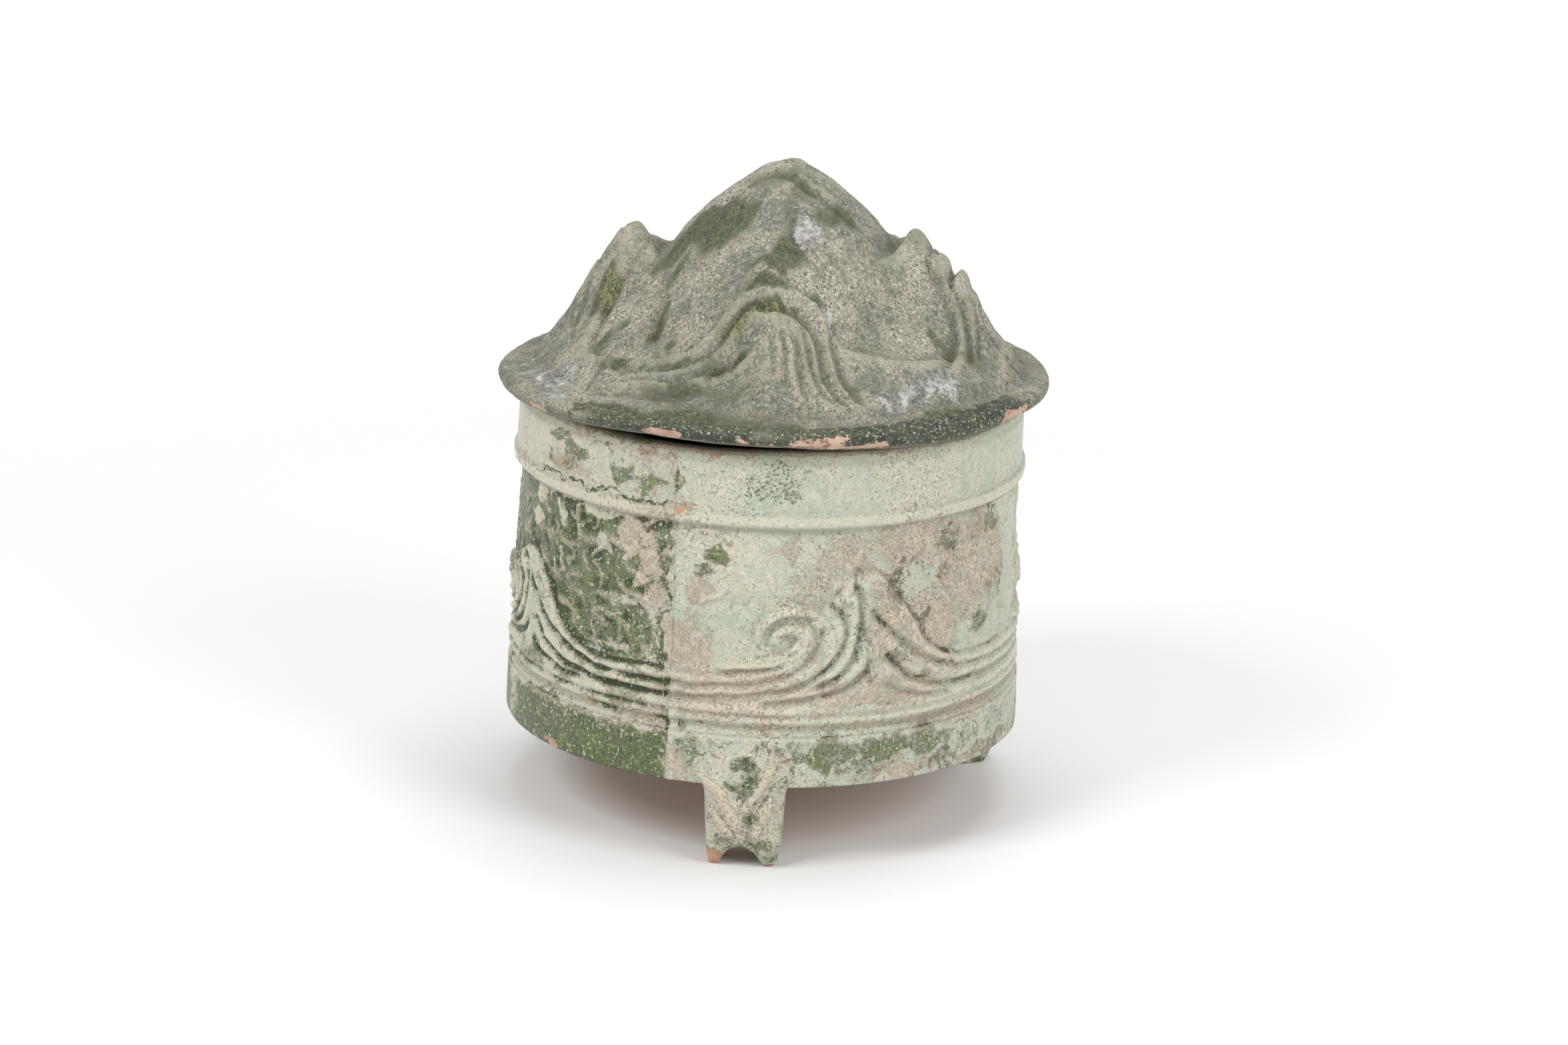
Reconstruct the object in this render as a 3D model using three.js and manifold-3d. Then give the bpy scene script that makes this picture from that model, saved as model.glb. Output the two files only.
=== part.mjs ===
// Lidded tripod jar of glazed earthenware: a moulded cylinder of two press-moulded wall halves,
// a flat base disc, three bear feet and a hollow lid pressed as a range of hills.
// Millimetres, +Z up. The origin is on the ground under the jar's axis, and the front foot is on -Y.
import * as THREE from "three";
import { mergeVertices } from "three/addons/utils/BufferGeometryUtils.js";
import Module from "manifold-3d";

const wasm = await Module();
wasm.setup();

// Driving sizes of the jar.
const FOOT_HEIGHT = 31;
const WALL_HEIGHT = 122.2;
const BASE_RADIUS = 95;
const RIM_RADIUS = 92.2;
const WALL_THICKNESS = 7.5;
const BASE_THICKNESS = 8;
const COIL_SIZE = 9;
const COIL_HOLLOW = 3;
const JOINT_GAP = 0.3;

// The wall's bands, as heights above the jar's underside: a plain foot band, two fillets, the
// sunken frieze, a ridge, and a plain neck with a narrow ledge under the lip.
const PLAIN_BAND_TOP = 19.4;
const FILLET_HOLLOW = 21.4;
const FILLET_HEIGHT = 24.2;
const FRIEZE_BOTTOM = 27;
const FRIEZE_TOP = 93.8;
const FRIEZE_DEPTH = 2.2;
const RIDGE_BOTTOM = 96.2;
const RIDGE_TOP = 99.4;
const RIDGE_PROUD = 1.5;
const NECK_BOTTOM = 100.9;
const LEDGE_HEIGHT = 117.4;
const LEDGE_DROP = 0.8;
const LEDGE_DEPTH = 0.7;
const LIP_ROUND = 1.4;

// The two mould halves meet at a seam left of the front foot, and opposite it.
const SEAM_BEARING = -15.6;

// The frieze's four wave-like hills: bearings, and heights as shares of the tallest.
const FRIEZE_HILLS = [[-62, 0.82], [28, 1], [118, 0.9], [208, 1]];
const HILL_FOOT = 42.4;
const HILL_RISE = 36;
const HILL_PROUD = 2.1;
const HILL_EDGE = 1.4;

// A hill's slopes and the curl before it: degrees from its axis, and share of its rise.
const HILL_SLOPES = [
  [-45, 0], [-30, 0.02], [-21, 0.11], [-18, 0.21], [-13.5, 0.49], [-8.7, 0.7], [-4.4, 0.91], [-2, 0.98],
  [2.6, 0.98], [5, 0.92], [7.8, 0.8], [10.6, 0.63], [13, 0.45], [15.4, 0.29], [18, 0.18], [26, 0.03], [45, 0],
];
const CURL = [[-25, 0], [-22, 0.38], [-19.5, 0.48], [-16, 0.5], [-12, 0.5]];

// Layers of the hills, ridge and groove by turns: share of the way up the slopes, and of HILL_PROUD.
const HILL_LAYERS = [[0.17, 1], [0.29, 0.2], [0.41, 1], [0.54, 0.2], [0.67, 1], [0.8, 0.2], [0.9, 1]];

// Rows of the field above the hills, as shares of the way from the crest to the ridge.
const FIELD_ROWS = [1 / 3, 2 / 3, 1];

// The lid: a flange that rests on the rim, and a hollow hill with four foothills.
const LID_OVERHANG = 8.8;
const LID_EDGE = 7.8;
const FLANGE_SLOPE = 0.12;
const EDGE_ROUND = 2.4;
const SUMMIT_HEIGHT = 84;
const SUMMIT_ROUND = 21;
const SUMMIT_OFFSET = 2.4;
const SLOPE = 1.11;
const HOLLOW_SLOPE = 1.165;
const CROWN_THICKNESS = 11;
const SEAT_INSET = 3.2;
const HOLLOW_RINGS = [0.9, 0.68, 0.44, 0.2];

// A foothill runs from an inner to an outer radius. Its outline along that way, from 0 to 1, is
// given as shares of its rise over the cone.
const FOOTHILL_INNER = 40;
const FOOTHILL_OUTER = 99;
const FRONT_OUTLINE = [
  [0, 0], [0.05, 0.08], [0.15, 0.56], [0.22, 0.69], [0.37, 1],
  [0.46, 0.95], [0.64, 0.52], [0.9, 0.17], [1, 0],
];
const RIGHT_OUTLINE = [
  [0, -0.24], [0.06, -0.08], [0.1, 0.38], [0.15, 0.65], [0.24, 0.8], [0.28, 0.82], [0.32, 0.75],
  [0.37, 0.86], [0.42, 0.78], [0.475, 1], [0.53, 0.89], [0.62, 0.56], [0.71, 0.38], [0.9, 0.26], [1, 0.07],
];
const LEFT_OUTLINE = [
  [0, -0.18], [0.025, -0.2], [0.06, 0], [0.1, 0.3], [0.15, 0.58], [0.21, 0.82],
  [0.27, 1], [0.33, 0.96], [0.44, 0.8], [0.5, 0.68], [0.56, 0.53], [0.62, 0.36], [0.9, 0.13], [1, 0],
];

// The four foothills: bearings, and their half width and rise as shares of the largest.
const FOOTHILL_HALF_WIDTH = 15;
const FOOTHILL_RISE = 18.4;
const FOOTHILLS = [
  { bearing: 3, breadth: 0.93, tallness: 0.63, outline: FRONT_OUTLINE },
  { bearing: 87, breadth: 1, tallness: 0.77, outline: RIGHT_OUTLINE },
  { bearing: 183, breadth: 0.93, tallness: 0.63, outline: FRONT_OUTLINE },
  { bearing: 268, breadth: 1, tallness: 1, outline: LEFT_OUTLINE },
];

// A round nose stands on the inner end of the front and back foothills.
const NOSE_BEARINGS = [1, 181];
const NOSE_RADIUS = 48;
const NOSE_RISE = 6.2;
const NOSE_SIZE = 10;
const NOSE_TOP = 3.3;

// The valleys between the foothills: bearing, and half width in degrees.
const VALLEYS = [[-42, 24], [50, 20], [137, 24], [-137, 24]];
const VALLEY_RADIUS = 61;
const VALLEY_WIDTH = 14;
const VALLEY_DEPTH = 6.5;

// Where the hills step down to the skirt, over the front half: bearing, and share of the lid's
// radius. The step dies out over the shares in STEP_FADE.
const STEP_HEIGHT = 3.6;
const STEP_FADE = [0.83, 0.92];
const STEP_LINE = [
  [-92, 0.455], [-86, 0.465], [-80, 0.515], [-71, 0.644], [-60, 0.723], [-48, 0.705], [-32, 0.677],
  [-21, 0.622], [-12, 0.564], [-4, 0.529], [9, 0.535], [19, 0.56], [25, 0.627], [31, 0.669], [48, 0.701],
  [61, 0.733], [71, 0.705], [76.5, 0.624], [84, 0.495], [88, 0.455],
];

// Where the flange has warped up off the rim: bearing, share of the rise, and half width in degrees.
const WARP_RISE = 3.1;
const WARPS = [[-15, 1, 32], [68, 0.84, 18]];
const EDGE_GAP = 1.4;

// A bear foot, in its own frame: x across, towards the left as one faces the foot, y outward
// from the jar's axis, z up. Its sections are shares of these sizes: height, half width, proud.
const FOOT_WIDTH = 40;
const FOOT_TOP = 49;
const FOOT_SETBACK = 20;
const FOOT_MIDDLE = 8;
const FOOT_PROUD = 2.7;
const FOOT_SECTIONS = [
  [0, 0.61, -1.3], [0.05, 0.64, -0.4], [0.12, 0.67, 0.3], [0.2, 0.69, 0.6], [0.29, 0.7, 0.7],
  [0.38, 0.705, 0.8], [0.47, 0.72, 0.9], [0.56, 0.76, 1], [0.63, 0.88, 1], [0.7, 0.99, 0.9],
  [0.79, 0.99, 0.7], [0.88, 0.82, 0.4], [0.96, 0.46, -0.1], [1, 0.15, -0.5],
];
const FOOT_BEARINGS = { foot_front: 2, foot_right: 122, foot_left: 242 };

// The arms, drawn down to the chest, and the haunches below them: lines of (x, z) on the foot's
// front, as shares of its half width and its height.
const LIMBS = [
  [[0.95, 0.8], [0.48, 0.61], [0.06, 0.27]],
  [[-0.53, 0.87], [-0.24, 0.61], [0.08, 0.41]],
  [[0.7, 0.53], [0.35, 0.33], [0.11, 0.21]],
  [[-0.59, 0.57], [-0.24, 0.3], [-0.06, 0.23]],
];
const LIMB_PROUD = 1.9;
const LIMB_HALF_WIDTH = 2.6;
const TOE_ARCH_RADIUS = 8.2;
const TOE_ARCH_HEIGHT = 6.5;
const TOE_ARCH_OFFSET = 1.3;

// How finely the solids are faceted.
const WALL_COLUMNS = 52;
const LID_COLUMNS = 84;
const LID_RINGS = 26;
const FOOT_SIDES = 30;
const ARCH_SIDES = 14;

const rim = FOOT_HEIGHT + WALL_HEIGHT;
const lidRadius = RIM_RADIUS + LID_OVERHANG;
const seatInner = RIM_RADIUS - WALL_THICKNESS - SEAT_INSET;
const fullTurn = 360;
const halfTurn = fullTurn / 2;
const degree = Math.PI / halfTurn;

// Bearings are seen from above, from the front (-Y), positive towards +X.
function atBearing(bearing, radius, z) {
  const a = bearing * degree;
  return new THREE.Vector3(radius * Math.sin(a), -radius * Math.cos(a), z);
}

function smoothstep(low, high, value) {
  const t = Math.min(1, Math.max(0, (value - low) / (high - low)));
  return t * t * (3 - 2 * t);
}

function gauss(value, halfWidth) {
  return Math.exp(-((value / halfWidth) ** 2));
}

// The signed angle from one bearing to another, between -180 and 180 degrees.
function turn(from, to) {
  return ((((to - from + halfTurn) % fullTurn) + fullTurn) % fullTurn) - halfTurn;
}

// A value read off a line of (place, value) points.
function readOff(line, place) {
  const next = line.findIndex(([p]) => p >= place);
  if (next < 0) return line[line.length - 1][1];
  if (next === 0) return line[0][1];
  const [low, from] = line[next - 1];
  const [high, to] = line[next];
  return from + ((to - from) * (place - low)) / (high - low);
}

function geometryOf(points, triangles) {
  const geometry = new THREE.BufferGeometry();
  const positions = points.flatMap((p) => [p.x, p.y, p.z]);
  geometry.setAttribute("position", new THREE.Float32BufferAttribute(positions, 3));
  geometry.setIndex(triangles.flat());
  geometry.computeVertexNormals();
  return geometry;
}

// Conversions between three.js geometry and solids that can be joined and cut.
function solidOf(geometry) {
  const bare = geometry.clone();
  bare.deleteAttribute("normal");
  bare.deleteAttribute("uv");
  const merged = mergeVertices(bare, 1e-4);
  const mesh = new wasm.Mesh({
    numProp: 3,
    vertProperties: new Float32Array(merged.attributes.position.array),
    triVerts: new Uint32Array(merged.index.array),
  });
  return new wasm.Manifold(mesh);
}

function geometryOfSolid(solid) {
  const mesh = solid.getMesh();
  const geometry = new THREE.BufferGeometry();
  geometry.setAttribute("position", new THREE.BufferAttribute(new Float32Array(mesh.vertProperties), 3));
  geometry.setIndex(new THREE.BufferAttribute(new Uint32Array(mesh.triVerts), 1));
  geometry.computeVertexNormals();
  return geometry;
}

// A turned solid about Z from (radius, z) points, anticlockwise as seen with the radius to the right.
function turned(profile, segments) {
  const points = profile.map(([r, z]) => new THREE.Vector2(r, z));
  points.push(points[0].clone());
  return new THREE.LatheGeometry(points, segments).rotateX(Math.PI / 2);
}

// The wall's outer radius before relief, and its inner radius, from its underside up.
function wallRadius(height) {
  return BASE_RADIUS + ((RIM_RADIUS - BASE_RADIUS) * height) / WALL_HEIGHT;
}

function innerRadius(height) {
  return wallRadius(height) - WALL_THICKNESS;
}

// The widest radius that clears the wall's faceted inside between two heights.
function clearRadius(low, high) {
  const facet = Math.cos((halfTurn * degree) / (2 * WALL_COLUMNS));
  return Math.min(innerRadius(low), innerRadius(high)) * facet - JOINT_GAP;
}

// The height of a line that runs over every hill of the frieze, at a bearing.
function hillHeight(line, bearing) {
  const rises = FRIEZE_HILLS.map(([axis, share]) => share * readOff(line, turn(axis, bearing)));
  return HILL_FOOT + HILL_RISE * Math.max(...rises);
}

// The crest: the hills' slopes, or the top of the curl where that stands higher.
function crestHeight(bearing) {
  const inCurl = ([axis]) => {
    const across = turn(axis, bearing);
    return across > CURL[0][0] && across < CURL[CURL.length - 1][0];
  };
  const slopes = hillHeight(HILL_SLOPES, bearing);
  return FRIEZE_HILLS.some(inCurl) ? Math.max(slopes, hillHeight(CURL, bearing)) : slopes;
}

// The wall's outer face at one bearing: heights from the bottom up, and how proud each is. The
// layers follow the hills' slopes, so they climb each hill and run level between.
function wallRows(bearing) {
  const slopes = hillHeight(HILL_SLOPES, bearing);
  const crest = crestHeight(bearing);
  const fieldBottom = crest + HILL_EDGE;
  const layers = HILL_LAYERS.map(([share, proud]) => [
    FRIEZE_BOTTOM + (slopes - FRIEZE_BOTTOM) * share,
    HILL_PROUD * proud - FRIEZE_DEPTH,
  ]);
  const field = FIELD_ROWS.map((share) => [fieldBottom + (FRIEZE_TOP - fieldBottom) * share, -FRIEZE_DEPTH]);
  return [
    [0, 0],
    [PLAIN_BAND_TOP, 0],
    [FILLET_HOLLOW, -FRIEZE_DEPTH],
    [FILLET_HEIGHT, 0],
    [FRIEZE_BOTTOM, -FRIEZE_DEPTH],
    ...layers,
    [crest, HILL_PROUD - FRIEZE_DEPTH],
    [fieldBottom, -FRIEZE_DEPTH],
    ...field,
    [RIDGE_BOTTOM, RIDGE_PROUD],
    [RIDGE_TOP, RIDGE_PROUD],
    [NECK_BOTTOM, 0],
    [LEDGE_HEIGHT, 0],
    [LEDGE_HEIGHT + LEDGE_DROP, -LEDGE_DEPTH],
    [WALL_HEIGHT - LIP_ROUND, -LEDGE_DEPTH],
  ];
}

// A section through the wall at one bearing, anticlockwise with the radius to the right.
function wallSection(bearing) {
  const outer = wallRows(bearing).map(([h, proud]) => [wallRadius(h) + proud, h]);
  const lip = [
    [wallRadius(WALL_HEIGHT) - LEDGE_DEPTH - LIP_ROUND, WALL_HEIGHT],
    [innerRadius(WALL_HEIGHT) + LIP_ROUND, WALL_HEIGHT],
  ];
  const inner = [WALL_HEIGHT - LIP_ROUND, 0].map((h) => [innerRadius(h), h]);
  return [...outer, ...lip, ...inner].map(([r, h]) => [r, h + FOOT_HEIGHT]);
}

// A press-moulded half of the wall, from one bearing to another.
function wallHalf(start, end) {
  const gapAngle = JOINT_GAP / 2 / BASE_RADIUS / degree;
  const sections = [];
  for (let i = 0; i <= WALL_COLUMNS; i++) {
    const bearing = start + gapAngle + ((end - start - 2 * gapAngle) * i) / WALL_COLUMNS;
    sections.push(wallSection(bearing).map(([r, z]) => atBearing(bearing, r, z)));
  }
  const count = sections[0].length;
  const triangles = [];
  for (let i = 0; i < WALL_COLUMNS; i++) {
    for (let j = 0; j < count; j++) {
      const a = i * count + j;
      const b = i * count + ((j + 1) % count);
      triangles.push([a, a + count, b + count], [a, b + count, b]);
    }
  }
  const capShape = (bearing) => wallSection(bearing).map(([r, z]) => new THREE.Vector2(r, z));
  const last = WALL_COLUMNS * count;
  for (const [a, b, c] of THREE.ShapeUtils.triangulateShape(capShape(start + gapAngle), [])) {
    triangles.push([a, b, c]);
  }
  for (const [a, b, c] of THREE.ShapeUtils.triangulateShape(capShape(end - gapAngle), [])) {
    triangles.push([last + a, last + c, last + b]);
  }
  return geometryOf(sections.flat(), triangles);
}

// The base disc, set inside the foot of the wall and flush with its underside.
function baseDisc() {
  const radius = clearRadius(0, BASE_THICKNESS);
  return turned([
    [0, FOOT_HEIGHT],
    [radius, FOOT_HEIGHT],
    [radius, FOOT_HEIGHT + BASE_THICKNESS],
    [0, FOOT_HEIGHT + BASE_THICKNESS],
  ], WALL_COLUMNS);
}

// The coil of soft clay pressed into the inside corner, which holds the disc to the wall. Its
// free face is hollowed by the finger that smeared it.
function cornerCoil() {
  const low = BASE_THICKNESS + JOINT_GAP;
  const outer = clearRadius(low, low + COIL_SIZE);
  const near = COIL_HOLLOW;
  const far = COIL_SIZE / 2;
  return turned([
    [outer - COIL_SIZE, low],
    [outer, low],
    [outer, low + COIL_SIZE],
    [outer - near, low + far],
    [outer - far, low + near],
  ].map(([r, h]) => [r, h + FOOT_HEIGHT]), WALL_COLUMNS);
}

// The hill's smooth slope: a rounded summit that runs into a straight cone.
function slope(radius, steepness) {
  return Math.hypot(SUMMIT_ROUND, steepness * radius) - SUMMIT_ROUND;
}

// How far a foothill raises the cone at a place, or sinks it just inside the foothill.
function foothillRise({ bearing: middle, breadth, tallness, outline }, bearing, radius) {
  const along = (radius - FOOTHILL_INNER) / (FOOTHILL_OUTER - FOOTHILL_INNER);
  const arc = turn(middle, bearing) * degree * Math.max(radius, FOOTHILL_INNER);
  const rise = FOOTHILL_RISE * tallness * readOff(outline, along);
  return rise * gauss(arc, FOOTHILL_HALF_WIDTH * breadth);
}

// The radius at which the hills step down to the skirt; the back half repeats the front.
function stepRadius(bearing) {
  const first = STEP_LINE[0][0];
  return lidRadius * readOff(STEP_LINE, ((((bearing - first) % halfTurn) + halfTurn) % halfTurn) + first);
}

// The lid's upper face, as a height above its seat.
function lidTop(bearing, radius) {
  const spot = atBearing(bearing, radius, 0);
  const cone = SUMMIT_HEIGHT - slope(Math.hypot(spot.x - SUMMIT_OFFSET, spot.y), SLOPE);
  const rises = FOOTHILLS.map((foothill) => foothillRise(foothill, bearing, radius));
  const foothills = Math.max(0, ...rises) + Math.min(0, ...rises);
  const sunk = VALLEYS.map(([middle, halfWidth]) => gauss(turn(middle, bearing), halfWidth));
  const valleys = VALLEY_DEPTH * Math.max(...sunk) * gauss(radius - VALLEY_RADIUS, VALLEY_WIDTH);
  const noses = NOSE_BEARINGS.map((middle) => {
    const away = spot.distanceTo(atBearing(middle, NOSE_RADIUS, 0));
    return NOSE_RISE * smoothstep(NOSE_SIZE, NOSE_TOP, away);
  });
  const beyond = smoothstep(-STEP_HEIGHT / 2, STEP_HEIGHT / 2, radius - stepRadius(bearing));
  const onSkirt = smoothstep(STEP_FADE[1], STEP_FADE[0], radius / lidRadius);
  const step = STEP_HEIGHT * beyond * onSkirt * smoothstep(FOOTHILL_INNER, NOSE_RADIUS, radius);
  const hill = cone + foothills - valleys + step + Math.max(...noses);
  const flange = LID_EDGE + FLANGE_SLOPE * (lidRadius - radius);
  return Math.max(hill, flange);
}

// How far the underside of the flange has warped up off the rim.
function warp(bearing) {
  const shares = WARPS.map(([middle, share, halfWidth]) => share * gauss(turn(middle, bearing), halfWidth));
  return WARP_RISE * Math.max(...shares);
}

// Rings of the lid from the summit over the edge to the middle of the hollow, each a function
// from a bearing to a radius and a height above the seat.
function lidRings() {
  const topRadius = lidRadius - EDGE_ROUND;
  const rings = [];
  for (let i = 1; i <= LID_RINGS; i++) {
    const radius = (topRadius * i) / LID_RINGS;
    rings.push((bearing) => [radius, lidTop(bearing, radius)]);
  }
  rings.push((bearing) => [lidRadius, (lidTop(bearing, lidRadius) + EDGE_GAP + warp(bearing)) / 2]);
  rings.push((bearing) => [topRadius, EDGE_GAP + warp(bearing)]);
  rings.push((bearing) => [RIM_RADIUS + EDGE_ROUND, warp(bearing)]);
  rings.push((bearing) => [seatInner, warp(bearing)]);
  for (const share of HOLLOW_RINGS) {
    const radius = seatInner * share;
    const height = SUMMIT_HEIGHT - CROWN_THICKNESS - slope(radius, HOLLOW_SLOPE);
    rings.push(() => [radius, height]);
  }
  return rings;
}

function hillLid() {
  const rings = lidRings();
  const points = [];
  const seat = rim + JOINT_GAP;
  for (const ring of rings) {
    for (let i = 0; i < LID_COLUMNS; i++) {
      const bearing = (fullTurn * i) / LID_COLUMNS;
      const [radius, height] = ring(bearing);
      points.push(atBearing(bearing, radius, seat + height));
    }
  }
  const triangles = [];
  for (let k = 0; k + 1 < rings.length; k++) {
    for (let i = 0; i < LID_COLUMNS; i++) {
      const a = k * LID_COLUMNS + i;
      const b = k * LID_COLUMNS + ((i + 1) % LID_COLUMNS);
      triangles.push([a, a + LID_COLUMNS, b + LID_COLUMNS], [a, b + LID_COLUMNS, b]);
    }
  }
  const summit = points.length;
  points.push(new THREE.Vector3(0, 0, seat + lidTop(0, 0)));
  points.push(new THREE.Vector3(0, 0, seat + SUMMIT_HEIGHT - CROWN_THICKNESS));
  const lastRing = (rings.length - 1) * LID_COLUMNS;
  for (let i = 0; i < LID_COLUMNS; i++) {
    const next = (i + 1) % LID_COLUMNS;
    triangles.push([summit, i, next]);
    triangles.push([summit + 1, lastRing + next, lastRing + i]);
  }
  return geometryOf(points, triangles);
}

// How far a place (x, z) on the foot's front lies from a line of points.
function awayFrom(line, x, z) {
  const place = new THREE.Vector2(x, z);
  let nearest = Infinity;
  for (let i = 0; i + 1 < line.length; i++) {
    const run = line[i + 1].clone().sub(line[i]);
    const share = place.clone().sub(line[i]).dot(run) / run.lengthSq();
    const foot = line[i].clone().addScaledVector(run, Math.min(1, Math.max(0, share)));
    nearest = Math.min(nearest, foot.distanceTo(place));
  }
  return nearest;
}

// How far the bear's limbs stand out at a place on the foot's front.
function limbRise(x, z) {
  const marks = LIMBS.map((limb) => {
    const line = limb.map(([u, v]) => new THREE.Vector2((u * FOOT_WIDTH) / 2, v * FOOT_TOP));
    return gauss(awayFrom(line, x, z), LIMB_HALF_WIDTH);
  });
  return LIMB_PROUD * Math.max(...marks);
}

// The foot as level sections that follow the wall's curve, with square shoulders front and back.
function footTrunk() {
  const middle = BASE_RADIUS - FOOT_MIDDLE;
  const sideFullness = 0.72;
  const frontFullness = 0.42;
  const cornerFade = 0.5;
  const points = [];
  for (const [level, width, proud] of FOOT_SECTIONS) {
    const z = level * FOOT_TOP;
    for (let i = 0; i < FOOT_SIDES; i++) {
      const a = (2 * Math.PI * i) / FOOT_SIDES;
      const across = Math.sign(Math.cos(a)) * Math.abs(Math.cos(a)) ** sideFullness;
      const x = (across * width * FOOT_WIDTH) / 2;
      const fade = 1 - cornerFade * across ** 4;
      const face = Math.sqrt(BASE_RADIUS ** 2 - x ** 2) + FOOT_PROUD * proud * fade;
      const front = (face + limbRise(x, z) - middle) * Math.abs(Math.sin(a)) ** frontFullness;
      const back = (FOOT_SETBACK - FOOT_MIDDLE) * Math.abs(Math.sin(a)) ** sideFullness;
      const y = middle + (Math.sin(a) > 0 ? front : -back);
      points.push(new THREE.Vector3(x, y, z));
    }
  }
  const triangles = [];
  for (let k = 0; k + 1 < FOOT_SECTIONS.length; k++) {
    for (let i = 0; i < FOOT_SIDES; i++) {
      const a = k * FOOT_SIDES + i;
      const b = k * FOOT_SIDES + ((i + 1) % FOOT_SIDES);
      triangles.push([a, b, b + FOOT_SIDES], [a, b + FOOT_SIDES, a + FOOT_SIDES]);
    }
  }
  const top = (FOOT_SECTIONS.length - 1) * FOOT_SIDES;
  for (let i = 1; i + 1 < FOOT_SIDES; i++) {
    triangles.push([0, i + 1, i], [top, top + i, top + i + 1]);
  }
  return solidOf(geometryOf(points, triangles));
}

// The wall's foot band and underside as one plain block, which shapes the back of each foot.
function wallBlock() {
  const radius = BASE_RADIUS + JOINT_GAP;
  return solidOf(turned([
    [0, FOOT_HEIGHT - JOINT_GAP],
    [radius, FOOT_HEIGHT - JOINT_GAP],
    [radius, rim],
    [0, rim],
  ], 2 * WALL_COLUMNS));
}

// A crouching bear whose arms meet at its chest, standing on two toes with an arch between them.
function bearFoot(bearing) {
  const arch = new THREE.CylinderGeometry(TOE_ARCH_RADIUS, TOE_ARCH_RADIUS, 2 * FOOT_WIDTH, ARCH_SIDES)
    .translate(TOE_ARCH_OFFSET, BASE_RADIUS - FOOT_MIDDLE, TOE_ARCH_HEIGHT - TOE_ARCH_RADIUS);
  const bear = footTrunk().subtract(solidOf(arch));
  const turnOut = new THREE.Matrix4().makeRotationZ((halfTurn + bearing) * degree);
  const placed = solidOf(geometryOfSolid(bear).applyMatrix4(turnOut));
  return geometryOfSolid(placed.subtract(wallBlock()));
}

const glazedClay = { roughness: 0.55, metalness: 0 };
const colours = {
  wall_left: 0x7f9070,
  wall_right: 0xc9ccb6,
  base_disc: 0xb98f72,
  corner_coil: 0xb08468,
  foot: 0xb9bba3,
  hill_lid: 0x7d7c6c,
};

function piece(name, geometry, colour) {
  const mesh = new THREE.Mesh(geometry, new THREE.MeshStandardMaterial({ color: colour, ...glazedClay }));
  mesh.name = name;
  return mesh;
}

const jar = new THREE.Group();
jar.add(piece("wall_left", wallHalf(SEAM_BEARING - halfTurn, SEAM_BEARING), colours.wall_left));
jar.add(piece("wall_right", wallHalf(SEAM_BEARING, SEAM_BEARING + halfTurn), colours.wall_right));
jar.add(piece("base_disc", baseDisc(), colours.base_disc));
jar.add(piece("corner_coil", cornerCoil(), colours.corner_coil));
for (const [name, bearing] of Object.entries(FOOT_BEARINGS)) {
  jar.add(piece(name, bearFoot(bearing), colours.foot));
}

const lid = new THREE.Group();
lid.add(piece("hill_lid", hillLid(), colours.hill_lid));
jar.add(lid);

export default jar;
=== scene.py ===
# A lidded tripod jar of moulded, lead-glazed earthenware, dressed over its packed construction model.
# Lengths are in millimetres until a mesh is placed. Bearings are in degrees, seen from above, from
# the front foot's side towards the right.
import math

import bmesh
import bpy
import numpy as np
from mathutils import Matrix, Vector


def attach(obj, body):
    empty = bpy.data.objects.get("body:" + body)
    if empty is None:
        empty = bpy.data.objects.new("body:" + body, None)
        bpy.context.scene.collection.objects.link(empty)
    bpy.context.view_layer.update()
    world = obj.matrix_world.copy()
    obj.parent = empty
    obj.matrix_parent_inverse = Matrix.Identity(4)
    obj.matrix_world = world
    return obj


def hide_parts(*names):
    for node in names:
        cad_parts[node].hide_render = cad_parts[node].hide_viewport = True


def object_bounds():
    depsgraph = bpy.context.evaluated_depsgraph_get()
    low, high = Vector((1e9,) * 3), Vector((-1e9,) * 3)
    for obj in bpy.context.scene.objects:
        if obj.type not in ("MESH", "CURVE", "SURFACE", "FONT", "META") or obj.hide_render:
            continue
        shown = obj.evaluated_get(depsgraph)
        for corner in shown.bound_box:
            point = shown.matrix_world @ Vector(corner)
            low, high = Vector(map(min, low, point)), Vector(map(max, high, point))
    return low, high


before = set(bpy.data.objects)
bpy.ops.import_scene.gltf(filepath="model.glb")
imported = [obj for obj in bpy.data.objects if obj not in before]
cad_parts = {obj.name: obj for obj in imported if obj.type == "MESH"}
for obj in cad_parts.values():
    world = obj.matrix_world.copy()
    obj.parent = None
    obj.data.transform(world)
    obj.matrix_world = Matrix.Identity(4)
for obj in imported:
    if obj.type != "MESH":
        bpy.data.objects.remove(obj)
cad_box = [list(corner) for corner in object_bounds()]
bpy.ops.object.select_all(action="DESELECT")
mm = 0.001

# The camera. The photograph was taken from a little above the jar, from far enough away that its
# rim and its base look alike, and the jar leans a little in the picture.
camera_distance = 1700 * mm
camera_elevation = math.radians(16.42)
camera_azimuth = math.radians(4.7)
camera_roll = math.radians(2.17)
focal_pixels = 6896
photo_width = 2352
sensor_width = 36
sight_reach = 20
look_right_of_axis = 6.01 * mm
look_height = 101.15 * mm

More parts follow.
